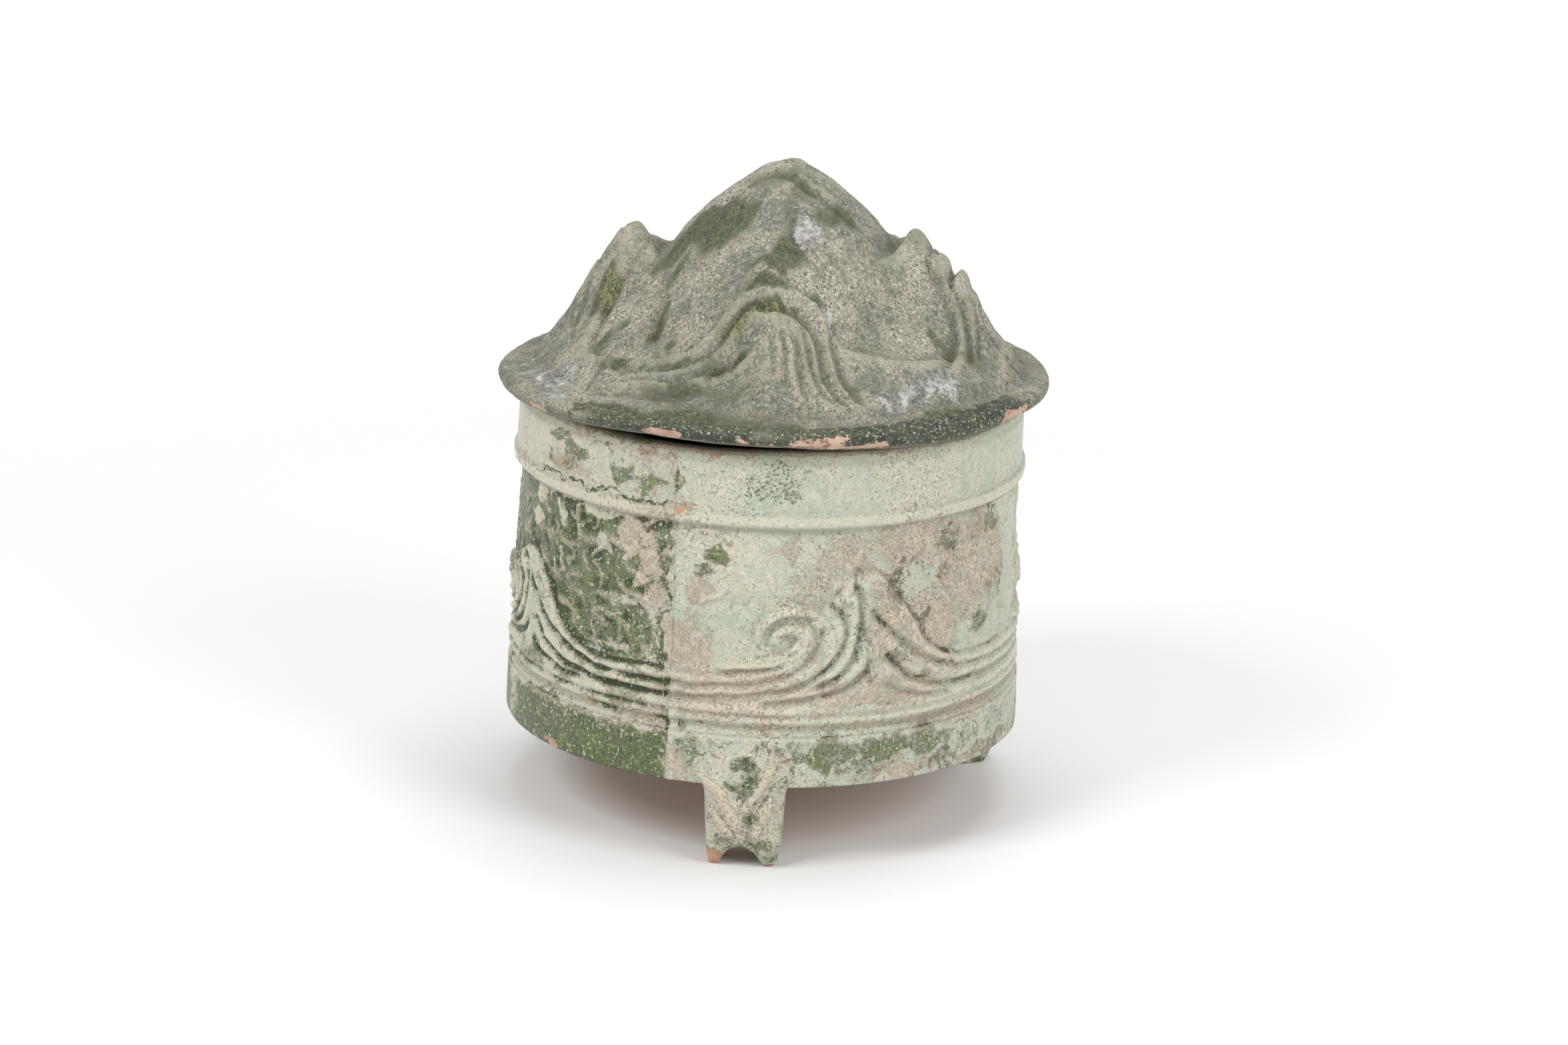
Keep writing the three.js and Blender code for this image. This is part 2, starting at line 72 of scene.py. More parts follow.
ahead = Vector((
    -math.sin(camera_azimuth) * math.cos(camera_elevation),
    math.cos(camera_azimuth) * math.cos(camera_elevation),
    -math.sin(camera_elevation),
))
level_right = Vector((math.cos(camera_azimuth), math.sin(camera_azimuth), 0))
level_up = level_right.cross(ahead)
right = level_right * math.cos(camera_roll) + level_up * math.sin(camera_roll)
up = level_up * math.cos(camera_roll) - level_right * math.sin(camera_roll)
bpy.ops.object.camera_add()
camera = bpy.context.object
camera.data.sensor_width = sensor_width
camera.data.lens = sensor_width * focal_pixels / photo_width
camera.data.clip_end = sight_reach
camera.matrix_world = Matrix((right, up, -ahead)).transposed().to_4x4()
camera.location = level_right * look_right_of_axis + Vector((0, 0, look_height)) - ahead * camera_distance
bpy.context.scene.camera = camera


# The base disc and the coil of clay pressed into its corner. Both are bare reddish earthenware,
# rolled and smeared by hand, with grit in the clay; they keep their construction meshes.
class Value:
    """A shader socket that can be used in Python arithmetic."""

    def __init__(self, shading, socket):
        self.shading = shading
        self.socket = socket

    def maths(self, operation, *inputs):
        return self.shading.node("ShaderNodeMath", {"operation": operation}, inputs)

    def __add__(self, other):
        return self.maths("ADD", self, other)

    def __sub__(self, other):
        return self.maths("SUBTRACT", self, other)

    def __rsub__(self, other):
        return self.maths("SUBTRACT", other, self)

    def __mul__(self, other):
        return self.maths("MULTIPLY", self, other)

    __radd__ = __add__
    __rmul__ = __mul__

    def step(self, low, high):
        """Rises smoothly from 0 to 1 between two values."""
        settings = {"interpolation_type": "SMOOTHSTEP"}
        inputs = {"Value": self, "From Min": low, "From Max": high}
        return self.shading.node("ShaderNodeMapRange", settings, inputs)


class Shading:
    """One material, built node by node."""

    def __init__(self, name):
        self.material = bpy.data.materials.new(name)
        self.material.use_nodes = True
        self.tree = self.material.node_tree
        self.shader = self.tree.nodes["Principled BSDF"]

    def node(self, kind, settings, inputs, output=0):
        made = self.tree.nodes.new(kind)
        for key, value in settings.items():
            setattr(made, key, value)
        pairs = inputs.items() if isinstance(inputs, dict) else enumerate(inputs)
        for key, value in pairs:
            if isinstance(value, Value):
                self.tree.links.new(value.socket, made.inputs[key])
            else:
                made.inputs[key].default_value = value
        return Value(self, made.outputs[output])

    def place(self):
        return self.node("ShaderNodeTexCoord", {}, {}, "Object")

    def painted(self, name):
        return self.node("ShaderNodeAttribute", {"attribute_name": name}, {}, "Fac")

    def noise(self, place, size, detail=4.0, roughness=0.6, distortion=0.0):
        """Noise about 0, with lumps of about the given size in millimetres."""
        inputs = {"Vector": place, "Scale": 1 / (size * mm), "Detail": detail,
                  "Roughness": roughness, "Distortion": distortion}
        return self.node("ShaderNodeTexNoise", {}, inputs) - 0.5

    def mix(self, share, first, second):
        return self.node("ShaderNodeMix", {"data_type": "RGBA"}, {0: share, 6: first, 7: second}, 2)

    def between(self, share, first, second):
        """Goes from one colour to another, both as they look, from 0 to 255."""
        return self.mix(share, linear(*first), linear(*second))

    def coat(self, under, share, *colour):
        """Covers what lies under by a share with a colour as it looks, from 0 to 255."""
        return self.mix(share, under, linear(*colour))

    def surface(self, socket, value):
        if isinstance(value, Value):
            self.tree.links.new(value.socket, self.shader.inputs[socket])
        else:
            self.shader.inputs[socket].default_value = value

    def bump(self, height, depth, strength=1.0):
        inputs = {"Strength": strength, "Distance": depth * mm, "Height": height}
        self.surface("Normal", self.node("ShaderNodeBump", {}, inputs))


def linear(red, green, blue):
    """A colour as it looks, from 0 to 255, for a shader."""
    def curve(value):
        value /= 255
        return value / 12.92 if value <= 0.04045 else ((value + 0.055) / 1.055) ** 2.4
    return (curve(red), curve(green), curve(blue), 1)


def bare_clay():
    shading = Shading("bare_clay")
    place = shading.place()
    grit = shading.noise(place, 1.1, 5, 0.7)
    smear = shading.noise(place, 15, 4, 0.55, 0.6)
    colour = shading.between((smear + grit * 0.5).step(-0.16, 0.16), (160, 126, 102), (192, 162, 136))
    dust = (smear * -1 + grit).step(0.08, 0.24)
    shading.surface("Base Color", shading.coat(colour, dust * 0.6, 198, 184, 160))
    shading.surface("Roughness", 0.88)
    shading.bump(grit * 0.7 + smear, 0.6, 0.8)
    return shading.material


clay = bare_clay()
for name in ("base_disc", "corner_coil"):
    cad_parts[name].data.materials.clear()
    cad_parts[name].data.materials.append(clay)


# The two halves of the wall. Each was a sheet of clay pressed into a mould, so the plain bands, the
# ridge and the frieze of wave-like hills with worn figures are part of it. They are luted together
# at two upright seams and lead-glazed; burial has turned much of the green glaze pale or flaked it.
foot_height = 31
wall_height = 122.2
base_radius = 95
rim_radius = 92.2
wall_thickness = 7.5
joint_gap = 0.3
seam_bearing = -15.6
seam_gap = 0.04
plain_band_top = 18.2
fillets = [(19.3, 1.0, 2.0), (24.2, 1.9, 2.2)]  # height, half width, how proud of the sunken frieze
frieze_depth = 2.2
frieze_low = 26.5
scrolls = [(12, 1.3, 71), (7, 0.8, 75)]  # size, how proud, seed
frieze_high = 94
ridge_low = 94.6
ridge_high = 100.2
ridge_proud = 3.3
lip_ledge = 117.8
lip_round = 1.6
hill_proud = 2.1
hill_reach = 45  # degrees on either side of a hill's axis
strata_level = 30  # below this height a lower hill's lines run as a tall one's do
field_low = 40  # the open field with its figures lies above
neck_low = 100
ledge_depth = 0.7
rim_dip = (-16, 20, 0.9)  # bearing, half width, depth
green_line = (-37, 19, 101, 0.9, 0.85)  # bearing, half width, height, half height, amount
wall_columns = 480
wall_row = 0.72
degree_arc = math.radians(base_radius)

# Each hill of the frieze: its bearing and how tall it stands beside the tallest.
frieze_hills = [(-62, 0.82), (28, 1.0), (118, 0.9), (208, 1.0)]
crest_line = [
    (-45, 42.4), (-36, 42.4), (-30, 43.2), (-25, 44.6), (-21, 46.4), (-18, 50), (-15.5, 55), (-13.5, 60),
    (-11, 64), (-8.7, 67.4), (-6.5, 71), (-4.4, 75), (-2, 77.6), (0.5, 78.4), (2.6, 77.8), (5, 75.6),
    (7.8, 71.4), (10.6, 65), (13, 58.6), (15.4, 53), (18, 48.8), (21.5, 45.6), (26, 43.6), (33, 42.6),
    (45, 42.4),
]
# Strokes are a half width, a height or depth, and points (bearing from the hill's axis, height).
strata_grooves = [
    (1.1, 1.1, [(-17.2, 49.5), (-18.5, 46), (-21, 43.9), (-25, 42.8), (-30, 41.6), (-36, 40.8),
                (-45, 40.6)]),
    (1.2, 1.3, [(-10.6, 58), (-10.6, 53), (-12.5, 47.5), (-15, 43.6), (-18, 41), (-22, 38.6), (-28, 36.8),
                (-36, 35.8), (-45, 35.6)]),
    (1.3, 1.6, [(-8.7, 67), (-6.7, 63.5), (-5, 60), (-4.7, 55), (-5.6, 50), (-7.6, 45.6), (-10.4, 41.4),
                (-13.8, 38.2), (-19, 35.2), (-26, 33.2), (-34, 31.6), (-45, 30.8)]),
    (1.3, 1.6, [(-3.5, 75), (-1.8, 70), (-1.2, 64), (-1.4, 57), (-2, 51), (-2.8, 46.6), (-5, 41.8),
                (-8, 38.2), (-13, 35.6)]),
    (1.3, 1.5, [(0.9, 47), (0.4, 42.6), (-1.6, 39), (-4.4, 35.8), (-8.5, 33.6), (-16, 31.6), (-24, 30)]),
    (1.2, 1.7, [(3, 79), (5.2, 75), (7.6, 70.6), (10.2, 65), (12.4, 59.5), (14.6, 53.4), (17, 48.8),
                (20.4, 45.4), (25, 42.6), (32, 41), (45, 40.7)]),
    (1.2, 1.3, [(1, 64), (3.4, 59.6), (6.6, 54.6), (9.4, 50.4), (12.6, 46.4), (16.4, 43), (21, 40),
                (27, 37.4), (34, 36), (45, 35.7)]),
    (1.3, 1.6, [(4.6, 47.6), (6.6, 43.8), (9, 40.4), (12, 37.2), (15.6, 34.6), (21, 32.6), (30, 31.2),
                (45, 30.9)]),
    (1.1, 1.2, [(3.5, 37.2), (6, 34.9), (9, 32.6), (12.6, 30.9), (17, 29.9), (24, 29.4)]),
    (1.0, 1.3, [(-14, 46), (-11.8, 50), (-11.2, 54), (-12.4, 58.4), (-15, 61.2), (-18.4, 61.2),
                (-21.4, 58.4), (-22.4, 54.6)]),
]
curl_ridges = [
    (1.9, 3.0, [(-34, 43.2), (-26, 44), (-21, 45.2), (-17, 47.4), (-14.4, 50.6), (-13.8, 54), (-15.2, 57),
                (-17.8, 58), (-20, 56.6), (-20.4, 53.8), (-18.4, 52.4)]),
    (1.8, 2.9, [(-10.4, 42), (-8.4, 48), (-8, 54), (-9.2, 59), (-11.6, 63), (-14.8, 65), (-18.4, 64.4),
                (-21.6, 61.6), (-23.8, 57.4), (-24.8, 52)]),
]
# Worn figures and scrolls above the hills, at their true bearings.
figure_ridges = [
    (1.1, 1.3, [(-10, 65), (-8.4, 67.6), (-6, 68.6), (-4.2, 70.8), (-3.2, 74)]),
    (1.3, 0.9, [(3.6, 93), (3.2, 88), (1.6, 83), (2.2, 80)]),
    (1.6, 1.1, [(5.6, 80), (6, 76), (7, 72), (9.4, 69)]),
    (1.2, 0.8, [(13, 74), (11, 70.6), (9, 68.4)]),
    (1.6, 1.0, [(18.4, 80), (18, 76), (19, 72)]),
    (1.3, 1.1, [(26.2, 88), (25.8, 84), (26.4, 81)]),
    (1.3, 1.3, [(46, 71), (48.4, 66), (51, 61)]),
    (1.2, 1.1, [(53, 76), (56.5, 74), (60.5, 71)]),
    (1.5, 1.1, [(57, 62), (58.6, 57), (57.6, 52), (59.6, 49)]),
    (1.3, 0.8, [(-12, 91), (-8, 92.4), (-5, 90)]),
    (0.9, 1.6, [(-38.4, 74), (-35.4, 78.8), (-33, 82), (-31, 86.4)]),
    (0.9, 1.1, [(-38.4, 74), (-35.6, 72), (-34.4, 68), (-35, 64)]),
    (0.7, 1.2, [(-39, 90), (-37.6, 91), (-36.2, 89.6), (-36.3, 86.6), (-37.6, 85.4), (-38.6, 86.6)]),
    (1.3, 1.2, [(-41.8, 78), (-44.8, 76.6), (-43.4, 73), (-46, 70.4), (-44, 68.4)]),
    (1.2, 1.1, [(-41, 66.4), (-44.6, 65.8), (-46.4, 63)]),
    (1.4, 1.3, [(-52, 84), (-49.6, 81), (-51, 77.4), (-49, 73)]),
    (1.1, 1.1, [(-51.8, 71), (-50.8, 66), (-48.6, 62)]),
    (1.3, 1.1, [(-26, 78), (-23.6, 76), (-24.2, 72), (-21.8, 69)]),
    (1.1, 1.2, [(-30, 70), (-27.6, 66), (-23, 64.6), (-20.6, 62)]),
    (1.2, 1.1, [(-38, 56), (-34.6, 54), (-32.4, 50.6)]),
    (1.0, 1.2, [(-37.6, 50), (-35.8, 47.6), (-36.4, 44)]),
    (1.2, 1.0, [(-27, 93), (-24.6, 90.6), (-23.4, 87)]),
    (1.1, 1.1, [(-46, 89), (-42.6, 86.6), (-39.4, 86.8)]),
    (1.5, 1.1, [(-49.4, 92), (-48, 88), (-46.8, 84), (-46, 81)]),
    (1.6, 1.2, [(-57, 90), (-54.6, 86), (-52.4, 85)]),
    (1.2, 1.0, [(-31.6, 56), (-28.6, 54.6), (-26, 51)]),
    (1.2, 0.9, [(-46, 55), (-42, 52), (-41, 48.6)]),
]
figure_repeats = [0, 180, 93, 267]  # the same worn figures stand on the fields behind
narrow_fields = [93, 267]  # here only those near the middle have room
narrow_reach = 32
block_plate = (65, 89.7, 6.6, 8.3, 1.6)  # bearing, height, half width in degrees, half height, how proud

# Where the glaze is green, bare, brown or flecked: bearing, height, half width, half height, amount.
green_patches = [
    (-50, 116, 5.5, 2.4, 0.85), (-43, 112.5, 5.5, 4, 0.8), (-36, 117, 3, 1.4, 0.6),
    (-53.5, 108, 1.2, 5, 0.6), (-30, 109, 4.6, 4.6, 0.76), (-23, 106.5, 4, 3.6, 0.72),
    (-31, 116, 6, 1, 0.5), (-45, 107, 4, 1.6, 0.55), (-16.6, 108, 0.7, 5, 0.9), (-16.4, 88, 1.4, 5, 0.8),
    (-7.6, 84.5, 2.6, 6, 0.92), (-9.2, 76, 1.2, 4, 0.7), (-12.5, 23, 3, 2.6, 0.62),
    (-7.5, 23.5, 3.4, 2, 0.55), (-10.5, 12, 2.4, 8, 0.78), (0.4, 17, 1.6, 2.2, 0.72),
    (3.2, 8, 3.6, 8, 0.58), (6.8, 16.5, 1.8, 2.6, 0.85), (12, 12, 3, 5, 0.74), (19.5, 11, 6.5, 8, 0.88),
    (25, 14, 4, 4, 0.7), (34, 12.5, 9, 5.5, 0.88), (43.5, 13.5, 5, 6, 0.8), (29, 8, 4, 5, 0.74),
    (49, 11, 3, 6, 0.7), (57, 11, 6, 5, 0.62), (70, 12, 8, 5, 0.6), (65, 88, 5, 7, 0.62),
    (24.4, 74, 1.4, 5, 0.62), (22, 66, 1.6, 6, 0.62), (26.2, 52, 1.2, 12, 0.66), (19.5, 40, 3, 6, 0.46),
    (28.6, 40, 1.6, 6, 0.6), (36.6, 46, 3, 6, 0.62), (41, 36.5, 3.4, 3, 0.6), (36, 71, 3.4, 7, 0.66),
    (41, 79, 2.4, 4, 0.6), (44, 55, 2, 7, 0.6), (62, 51, 5, 5, 0.7), (50, 84, 4, 5, 0.6),
    (60, 34, 8, 3, 0.42), (72, 60, 8, 14, 0.44), (7, 110, 9, 9, 0.4), (22, 91, 2, 2, 0.5),
    (36.5, 81, 1.6, 3, 0.56), (48, 74, 3, 4, 0.46), (14, 32, 3, 3, 0.42),
]
worn_patches = [
    (-27, 85, 3.4, 8.5, 0.8), (-25.5, 71.5, 2.4, 4.5, 0.8), (-21.5, 79, 2.6, 11, 0.78),
    (-20, 65, 2.6, 8, 0.62), (-25, 61.5, 2.6, 2.4, 0.7), (-30, 62, 1.6, 3, 0.5),
    (-28.5, 45.5, 3.5, 2, 0.6), (-22, 45, 2.4, 3, 0.6), (-58.5, 90, 2.2, 4.6, 0.8),
    (-59.5, 80.5, 2.2, 3.6, 0.85), (-48.6, 86, 1.2, 5.5, 0.75), (-59, 63.6, 3, 2.4, 0.8),
    (-63.5, 62, 3.4, 3, 0.7), (-34.5, 81, 1.4, 5, 0.55), (-18.5, 52, 1.2, 6, 0.4), (-33, 93, 8, 1.4, 0.5),
    (-62, 45, 2, 9, 0.7), (-56.5, 50, 1.4, 9, 0.4), (-48.2, 72, 1, 6, 0.35), (-70, 10, 4, 12, 0.5),
    (-36.5, 51, 1.2, 3, 0.35),
]
bare_patches = [
    (-11, 48, 5, 15, 0.75), (-4, 33, 14, 8, 0.8), (-10, 70, 4, 6, 0.7), (24, 83, 6, 9, 0.66),
    (6, 38, 12, 5, 0.6), (16, 72, 6, 10, 0.5), (10, 24, 30, 3, 0.36), (66, 70, 8, 20, 0.6),
    (33, 60, 7, 22, 0.72), (46, 52, 9, 16, 0.85), (40, 86, 12, 10, 0.7), (58, 75, 12, 22, 0.72),
    (28, 34, 26, 7, 0.7), (-14, 6, 3.4, 7, 0.9), (-2.6, 5, 2, 8, 0.7), (9, 4, 2, 6, 0.7), (26, 5, 8, 4, 0.6),
    (40, 4, 14, 4, 0.75), (62, 3, 16, 4, 0.7), (-47, 107, 9, 4.6, 0.7), (-22, 78, 5, 15, 0.85),
    (-26, 88, 5, 6, 0.7), (-27, 46, 5, 3, 0.6), (10, 86, 3, 4, 0.5), (-14.5, 100, 2.2, 3, 0.9),
    (-37, 22.5, 1.6, 1.6, 0.6), (16, 48, 3, 8, 0.45), (55, 20, 22, 4, 0.6),
]
brown_patches = [
    (40, 28.4, 40, 1.2, 0.55), (20, 21.2, 26, 0.9, 0.65), (59, 88, 1.6, 8, 0.8), (65, 90, 6, 8, 0.35),
    (-48, 107, 8, 4, 0.5), (-45, 24.6, 28, 0.8, 0.6), (52, 58, 5, 8, 0.4), (-36, 98, 20, 1.6, 0.35),
    (-20, 96.5, 4, 3, 0.5),
]
clay_patches = [
    (-48, 0.8, 2.4, 1.4, 1.0), (-37, 22.6, 1.4, 1.2, 0.9), (-37.6, 88, 0.9, 2.6, 0.55),
    (-14.4, 100.4, 1.1, 2, 0.78), (-34, 120.6, 24, 1.0, 0.5), (10, 121.4, 30, 0.6, 0.5),
    (-8, 0.2, 6, 0.6, 0.5), (-55, 62, 0.5, 1, 0.5),
]
fleck_patches = [
    (6, 110, 8, 10, 0.7), (2, 102, 7, 2.6, 0.6), (22.6, 113, 1.6, 6, 0.45), (36, 116, 2, 3, 0.4),
    (51, 112, 1.2, 8, 0.4), (20, 92, 14, 3, 0.4), (28, 60, 12, 20, 0.45), (-14, 30, 6, 5, 0.4),
    (14, 86, 12, 8, 0.3), (46, 70, 14, 24, 0.45), (-2, 104, 1, 1, 0.8), (0, 68, 9, 6, 0.3),
    (16, 19, 20, 3, 0.5), (-50, 75, 12, 16, 0.3),
]
yellow_patches = [
    (0, 80, 8, 16, 0.7), (-4, 40, 12, 6, 0.7), (24, 60, 5, 14, 0.5), (50, 108, 20, 10, 0.35),
    (2, 31, 12, 3, 0.5), (22, 26, 26, 7, 0.6), (-50, 100, 10, 3, 0.5), (-58, 108, 8, 10, 0.7),
]
blue_patches = [
    (8, 101, 12, 2, 0.9), (2, 58, 7, 8, 0.7), (7, 52, 4, 4, 0.6), (12, 76, 6, 8, 0.45), (12, 93, 16, 2, 0.6),
    (7, 108, 7, 8, 0.4), (-2, 81, 2, 2.4, 0.7), (-68, 108, 2.4, 12, 1.0), (50, 44, 8, 4, 0.5),
]


def smoothstep(low, high, value):
    share = np.clip((value - low) / (high - low), 0, 1)
    return share * share * (3 - 2 * share)


def gauss(value, half_width):
    return np.exp(-((value / half_width) ** 2))


def turn(start, bearing):
    """The angle from one bearing to another, from -180 to 180 degrees."""
    return (bearing - start + 180) % 360 - 180


def smooth_line(points, steps=6):
    """A smooth line through points, as short straight runs."""
    line = np.array(points, float)
    line = np.vstack([2 * line[0] - line[1], line, 2 * line[-1] - line[-2]])
    share = np.linspace(0, 1, steps, endpoint=False)[:, None]
    runs = []
    for a, b, c, d in zip(line, line[1:], line[2:], line[3:]):
        bend = (2 * a - 5 * b + 4 * c - d) * share**2 + (3 * b - a - 3 * c + d) * share**3
        runs.append(0.5 * (2 * b + (c - a) * share + bend))
    return np.vstack([*runs, line[-2:-1]])


def stroke(places, line, half_width, taper=4):
    """How strongly a rounded tool drawn along a line marks each place, from 0 to 1."""
    mark = np.zeros(len(places))
    reach = 2.6 * half_width
    near = np.all((places > line.min(0) - reach) & (places < line.max(0) + reach), axis=1)
    spots = places[near]
    best = np.full(len(spots), np.inf)
    along = np.zeros(len(spots))
    passed = 0
    for start, end in zip(line, line[1:]):
        run = end - start
        length = max(np.linalg.norm(run), 1e-6)
        share = np.clip((spots - start) @ run / length**2, 0, 1)
        gap = np.linalg.norm(spots - start - share[:, None] * run, axis=1)
        closer = gap < best
        best = np.where(closer, gap, best)
        along = np.where(closer, passed + share * length, along)
        passed += length
    to_end = np.minimum(along, passed - along)
    mark[near] = gauss(best, half_width) * np.clip(0.2 + to_end / taper, 0, 1)
    return mark


def lattice_noise(points, size, seed):
    """Smooth noise from 0 to 1 on points, with lumps of about the given size."""
    cell = points / size + seed * 17.3
    low = np.floor(cell).astype(np.int64)
    part = cell - low
    part = part * part * (3 - 2 * part)
    total = np.zeros(len(points))
    for corner in range(8):
        step = np.array([corner & 1, corner >> 1 & 1, corner >> 2 & 1])
        key = (low + step) @ np.array([73856093, 19349663, 83492791]) + seed * 1013
        key = (key ^ (key >> 13)) * 1274126177 & 0x7FFFFFFF
        key = (key ^ (key >> 16)) & 0xFFFF
        total += np.prod(np.where(step == 1, part, 1 - part), axis=1) * key / 65535
    return total


def lumps(points, size, seed, octaves=3):
    """Noise of several sizes together, from about -1 to 1."""
    total = np.zeros(len(points))
    for octave in range(octaves):
        total += (2 * lattice_noise(points, size / 2**octave, seed + octave) - 1) / 2**octave
    return total / 1.5


def patched(patches, bearing, height):
    """The strongest of several soft-edged patches at each place."""
    total = np.zeros(len(bearing))
    for middle, level, half_width, half_height, amount in patches:
        away = np.hypot(turn(middle, bearing) / half_width, (height - level) / half_height)
        total = np.maximum(total, amount * (1 - smoothstep(0.55, 1.35, away)))
    return total


def spin_section(name, section, start, sweep, steps, closed):
    """Spins a section of (radius, height) points about the jar's axis, and numbers its points."""
    bpy.ops.object.select_all(action="DESELECT")
    bpy.ops.mesh.primitive_circle_add(vertices=len(section), radius=1)
    piece = bpy.context.object
    piece.name = name
    begin = math.radians(start)
    for vertex, (radius, height) in zip(piece.data.vertices, section):
        vertex.co = (radius * math.sin(begin), -radius * math.cos(begin), height)
    station = piece.data.attributes.new("station", "FLOAT", "POINT")
    station.data.foreach_set("value", np.arange(len(section), dtype=np.float32))
    bpy.ops.object.mode_set(mode="EDIT")
    bpy.ops.mesh.select_all(action="DESELECT")
    if not closed:
        bpy.ops.mesh.select_mode(type="EDGE")
        cage = bmesh.from_edit_mesh(piece.data)
        ends = {0, len(section) - 1}
        for edge in cage.edges:
            edge.select_set({v.index for v in edge.verts} == ends)
        bmesh.update_edit_mesh(piece.data)
        bpy.ops.mesh.delete(type="EDGE")
        bpy.ops.mesh.select_mode(type="VERT")
    bpy.ops.mesh.select_all(action="SELECT")
    bpy.ops.mesh.spin(steps=steps, angle=math.radians(sweep), center=(0, 0, 0), axis=(0, 0, 1))
    if sweep >= 360:
        bpy.ops.mesh.select_all(action="SELECT")
        bpy.ops.mesh.remove_doubles(threshold=0.0005)
    bpy.ops.object.mode_set(mode="OBJECT")
    return piece


def close_and_turn_out(piece):
    """Fills open ends and makes every face point outwards."""
    bpy.ops.object.mode_set(mode="EDIT")
    bpy.ops.mesh.select_all(action="DESELECT")
    bpy.ops.mesh.select_mode(type="EDGE")
    bpy.ops.mesh.select_non_manifold(extend=False, use_boundary=True, use_wire=False,
                                     use_multi_face=False, use_non_contiguous=False, use_verts=False)
    bpy.ops.mesh.edge_face_add()
    bpy.ops.mesh.select_mode(type="VERT")
    bpy.ops.mesh.select_all(action="SELECT")
    bpy.ops.mesh.normals_make_consistent(inside=False)
    bpy.ops.object.mode_set(mode="OBJECT")


def vertices_of(piece):
    flat = np.zeros(len(piece.data.vertices) * 3)
    piece.data.vertices.foreach_get("co", flat)
    return flat.reshape(-1, 3)


def stations_of(piece):
    values = np.zeros(len(piece.data.vertices), dtype=np.float32)
    piece.data.attributes["station"].data.foreach_get("value", values)
    return np.rint(values).astype(int)


def place(piece, points):
    """Puts a piece's vertices at points in millimetres, and takes the piece to metres."""
    piece.data.vertices.foreach_set("co", (points * mm).astype(np.float32).ravel())
    piece.data.update()


def paint(piece, **layers):
    """Keeps named numbers, one a vertex, for the material to read."""
    for name, values in layers.items():
        layer = piece.data.attributes.new(name, "FLOAT", "POINT")
        layer.data.foreach_set("value", values.astype(np.float32))


def raised_above(values, column, station, rounds=24):
    """How far each place of a spun piece stands above its surroundings, or below, if negative."""
    smooth = np.zeros((column.max() + 1, station.max() + 1))
    smooth[column, station] = values
    for _ in range(rounds):
        beside = sum(np.roll(smooth, shift, axis) for axis in (0, 1) for shift in (1, -1))
        smooth = (smooth + beside) / 5
    return values - smooth[column, station]


def finish(piece, material, body, nodes):
    piece.data.materials.append(material)
    bpy.ops.object.shade_smooth()
    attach(piece, body)
    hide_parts(nodes)


def wall_radius(height):
    return base_radius + (rim_radius - base_radius) * height / wall_height


def hills_of_frieze(bearing, height):
    """How proud the hills stand of the sunken frieze, and how deep each place lies in a groove."""
    proud = np.zeros(len(bearing))
    groove = np.zeros(len(bearing))
    body = np.zeros(len(bearing))
    for middle, rise in frieze_hills:
        across = turn(middle, bearing)
        mine = (np.abs(across) <= hill_reach) & (height > frieze_low - 4) & (height < frieze_high)
        x = across[mine]
        full = rise + (1 - rise) * smoothstep(25, hill_reach, np.abs(x))
        low = height[mine]
        y = np.where(low > strata_level, strata_level + (low - strata_level) / full, low)
        spots = np.stack([x * degree_arc, y], 1)
        crest = smooth_line(crest_line)
        inside = smoothstep(-1.1, 1.4, np.interp(x, crest[:, 0], crest[:, 1]) - y)
        top = hill_proud * inside
        for half_width, tall, points in curl_ridges:
            line = smooth_line(points) * [degree_arc, 1]
            top = np.maximum(top, tall * stroke(spots, line, half_width))
        cut = np.zeros(len(x))
        for half_width, deep, points in strata_grooves:
            line = smooth_line(points) * [degree_arc, 1]
            line[[0, -1]] += 0.001
            taper = 4 if abs(points[-1][0]) < hill_reach - 1 else 0.5  # a line that goes on has no tail
            cut = np.maximum(cut, deep * stroke(spots, line, half_width * 1.1, taper))
        proud[mine] = np.maximum(top - cut * 1.3, -0.5)
        groove[mine] = cut / 1.6
        body[mine] = inside
    return proud, groove, body


def figures_of_frieze(bearing, height):
    proud = np.zeros(len(bearing))
    for shift in figure_repeats:
        spots = np.stack([turn(shift, bearing) * degree_arc, height], 1)
        for half_width, tall, points in figure_ridges:
            if shift in narrow_fields and abs(points[0][0]) > narrow_reach:
                continue
            line = smooth_line(points, 4) * [degree_arc, 1]
            proud = np.maximum(proud, tall * stroke(spots, line, half_width, 3))
    middle, level, half_width, half_height, tall = block_plate
    plate = smoothstep(half_width, half_width - 1.2, np.abs(turn(middle, bearing)))
    plate = plate * smoothstep(half_height, half_height - 1.8, np.abs(height - level))
    return np.maximum(proud, tall * plate)


def bands(height):
    """The plain foot band, the two fillets, the sunken frieze, the ridge and the plain neck."""
    level = -frieze_depth * smoothstep(plain_band_top - 0.6, plain_band_top + 0.6, height)
    level = level + frieze_depth * smoothstep(ridge_high - 0.4, ridge_high + 0.6, height)
    for middle, half_width, proud in fillets:
        level = level + proud * gauss(height - middle, half_width)
    rise = smoothstep(ridge_low - 1.2, ridge_low + 1.6, height)
    level = level + ridge_proud * rise * (1 - smoothstep(ridge_high - 0.9, ridge_high + 0.7, height))
    level = level - ledge_depth * smoothstep(lip_ledge - 0.5, lip_ledge + 0.5, height)
    return level


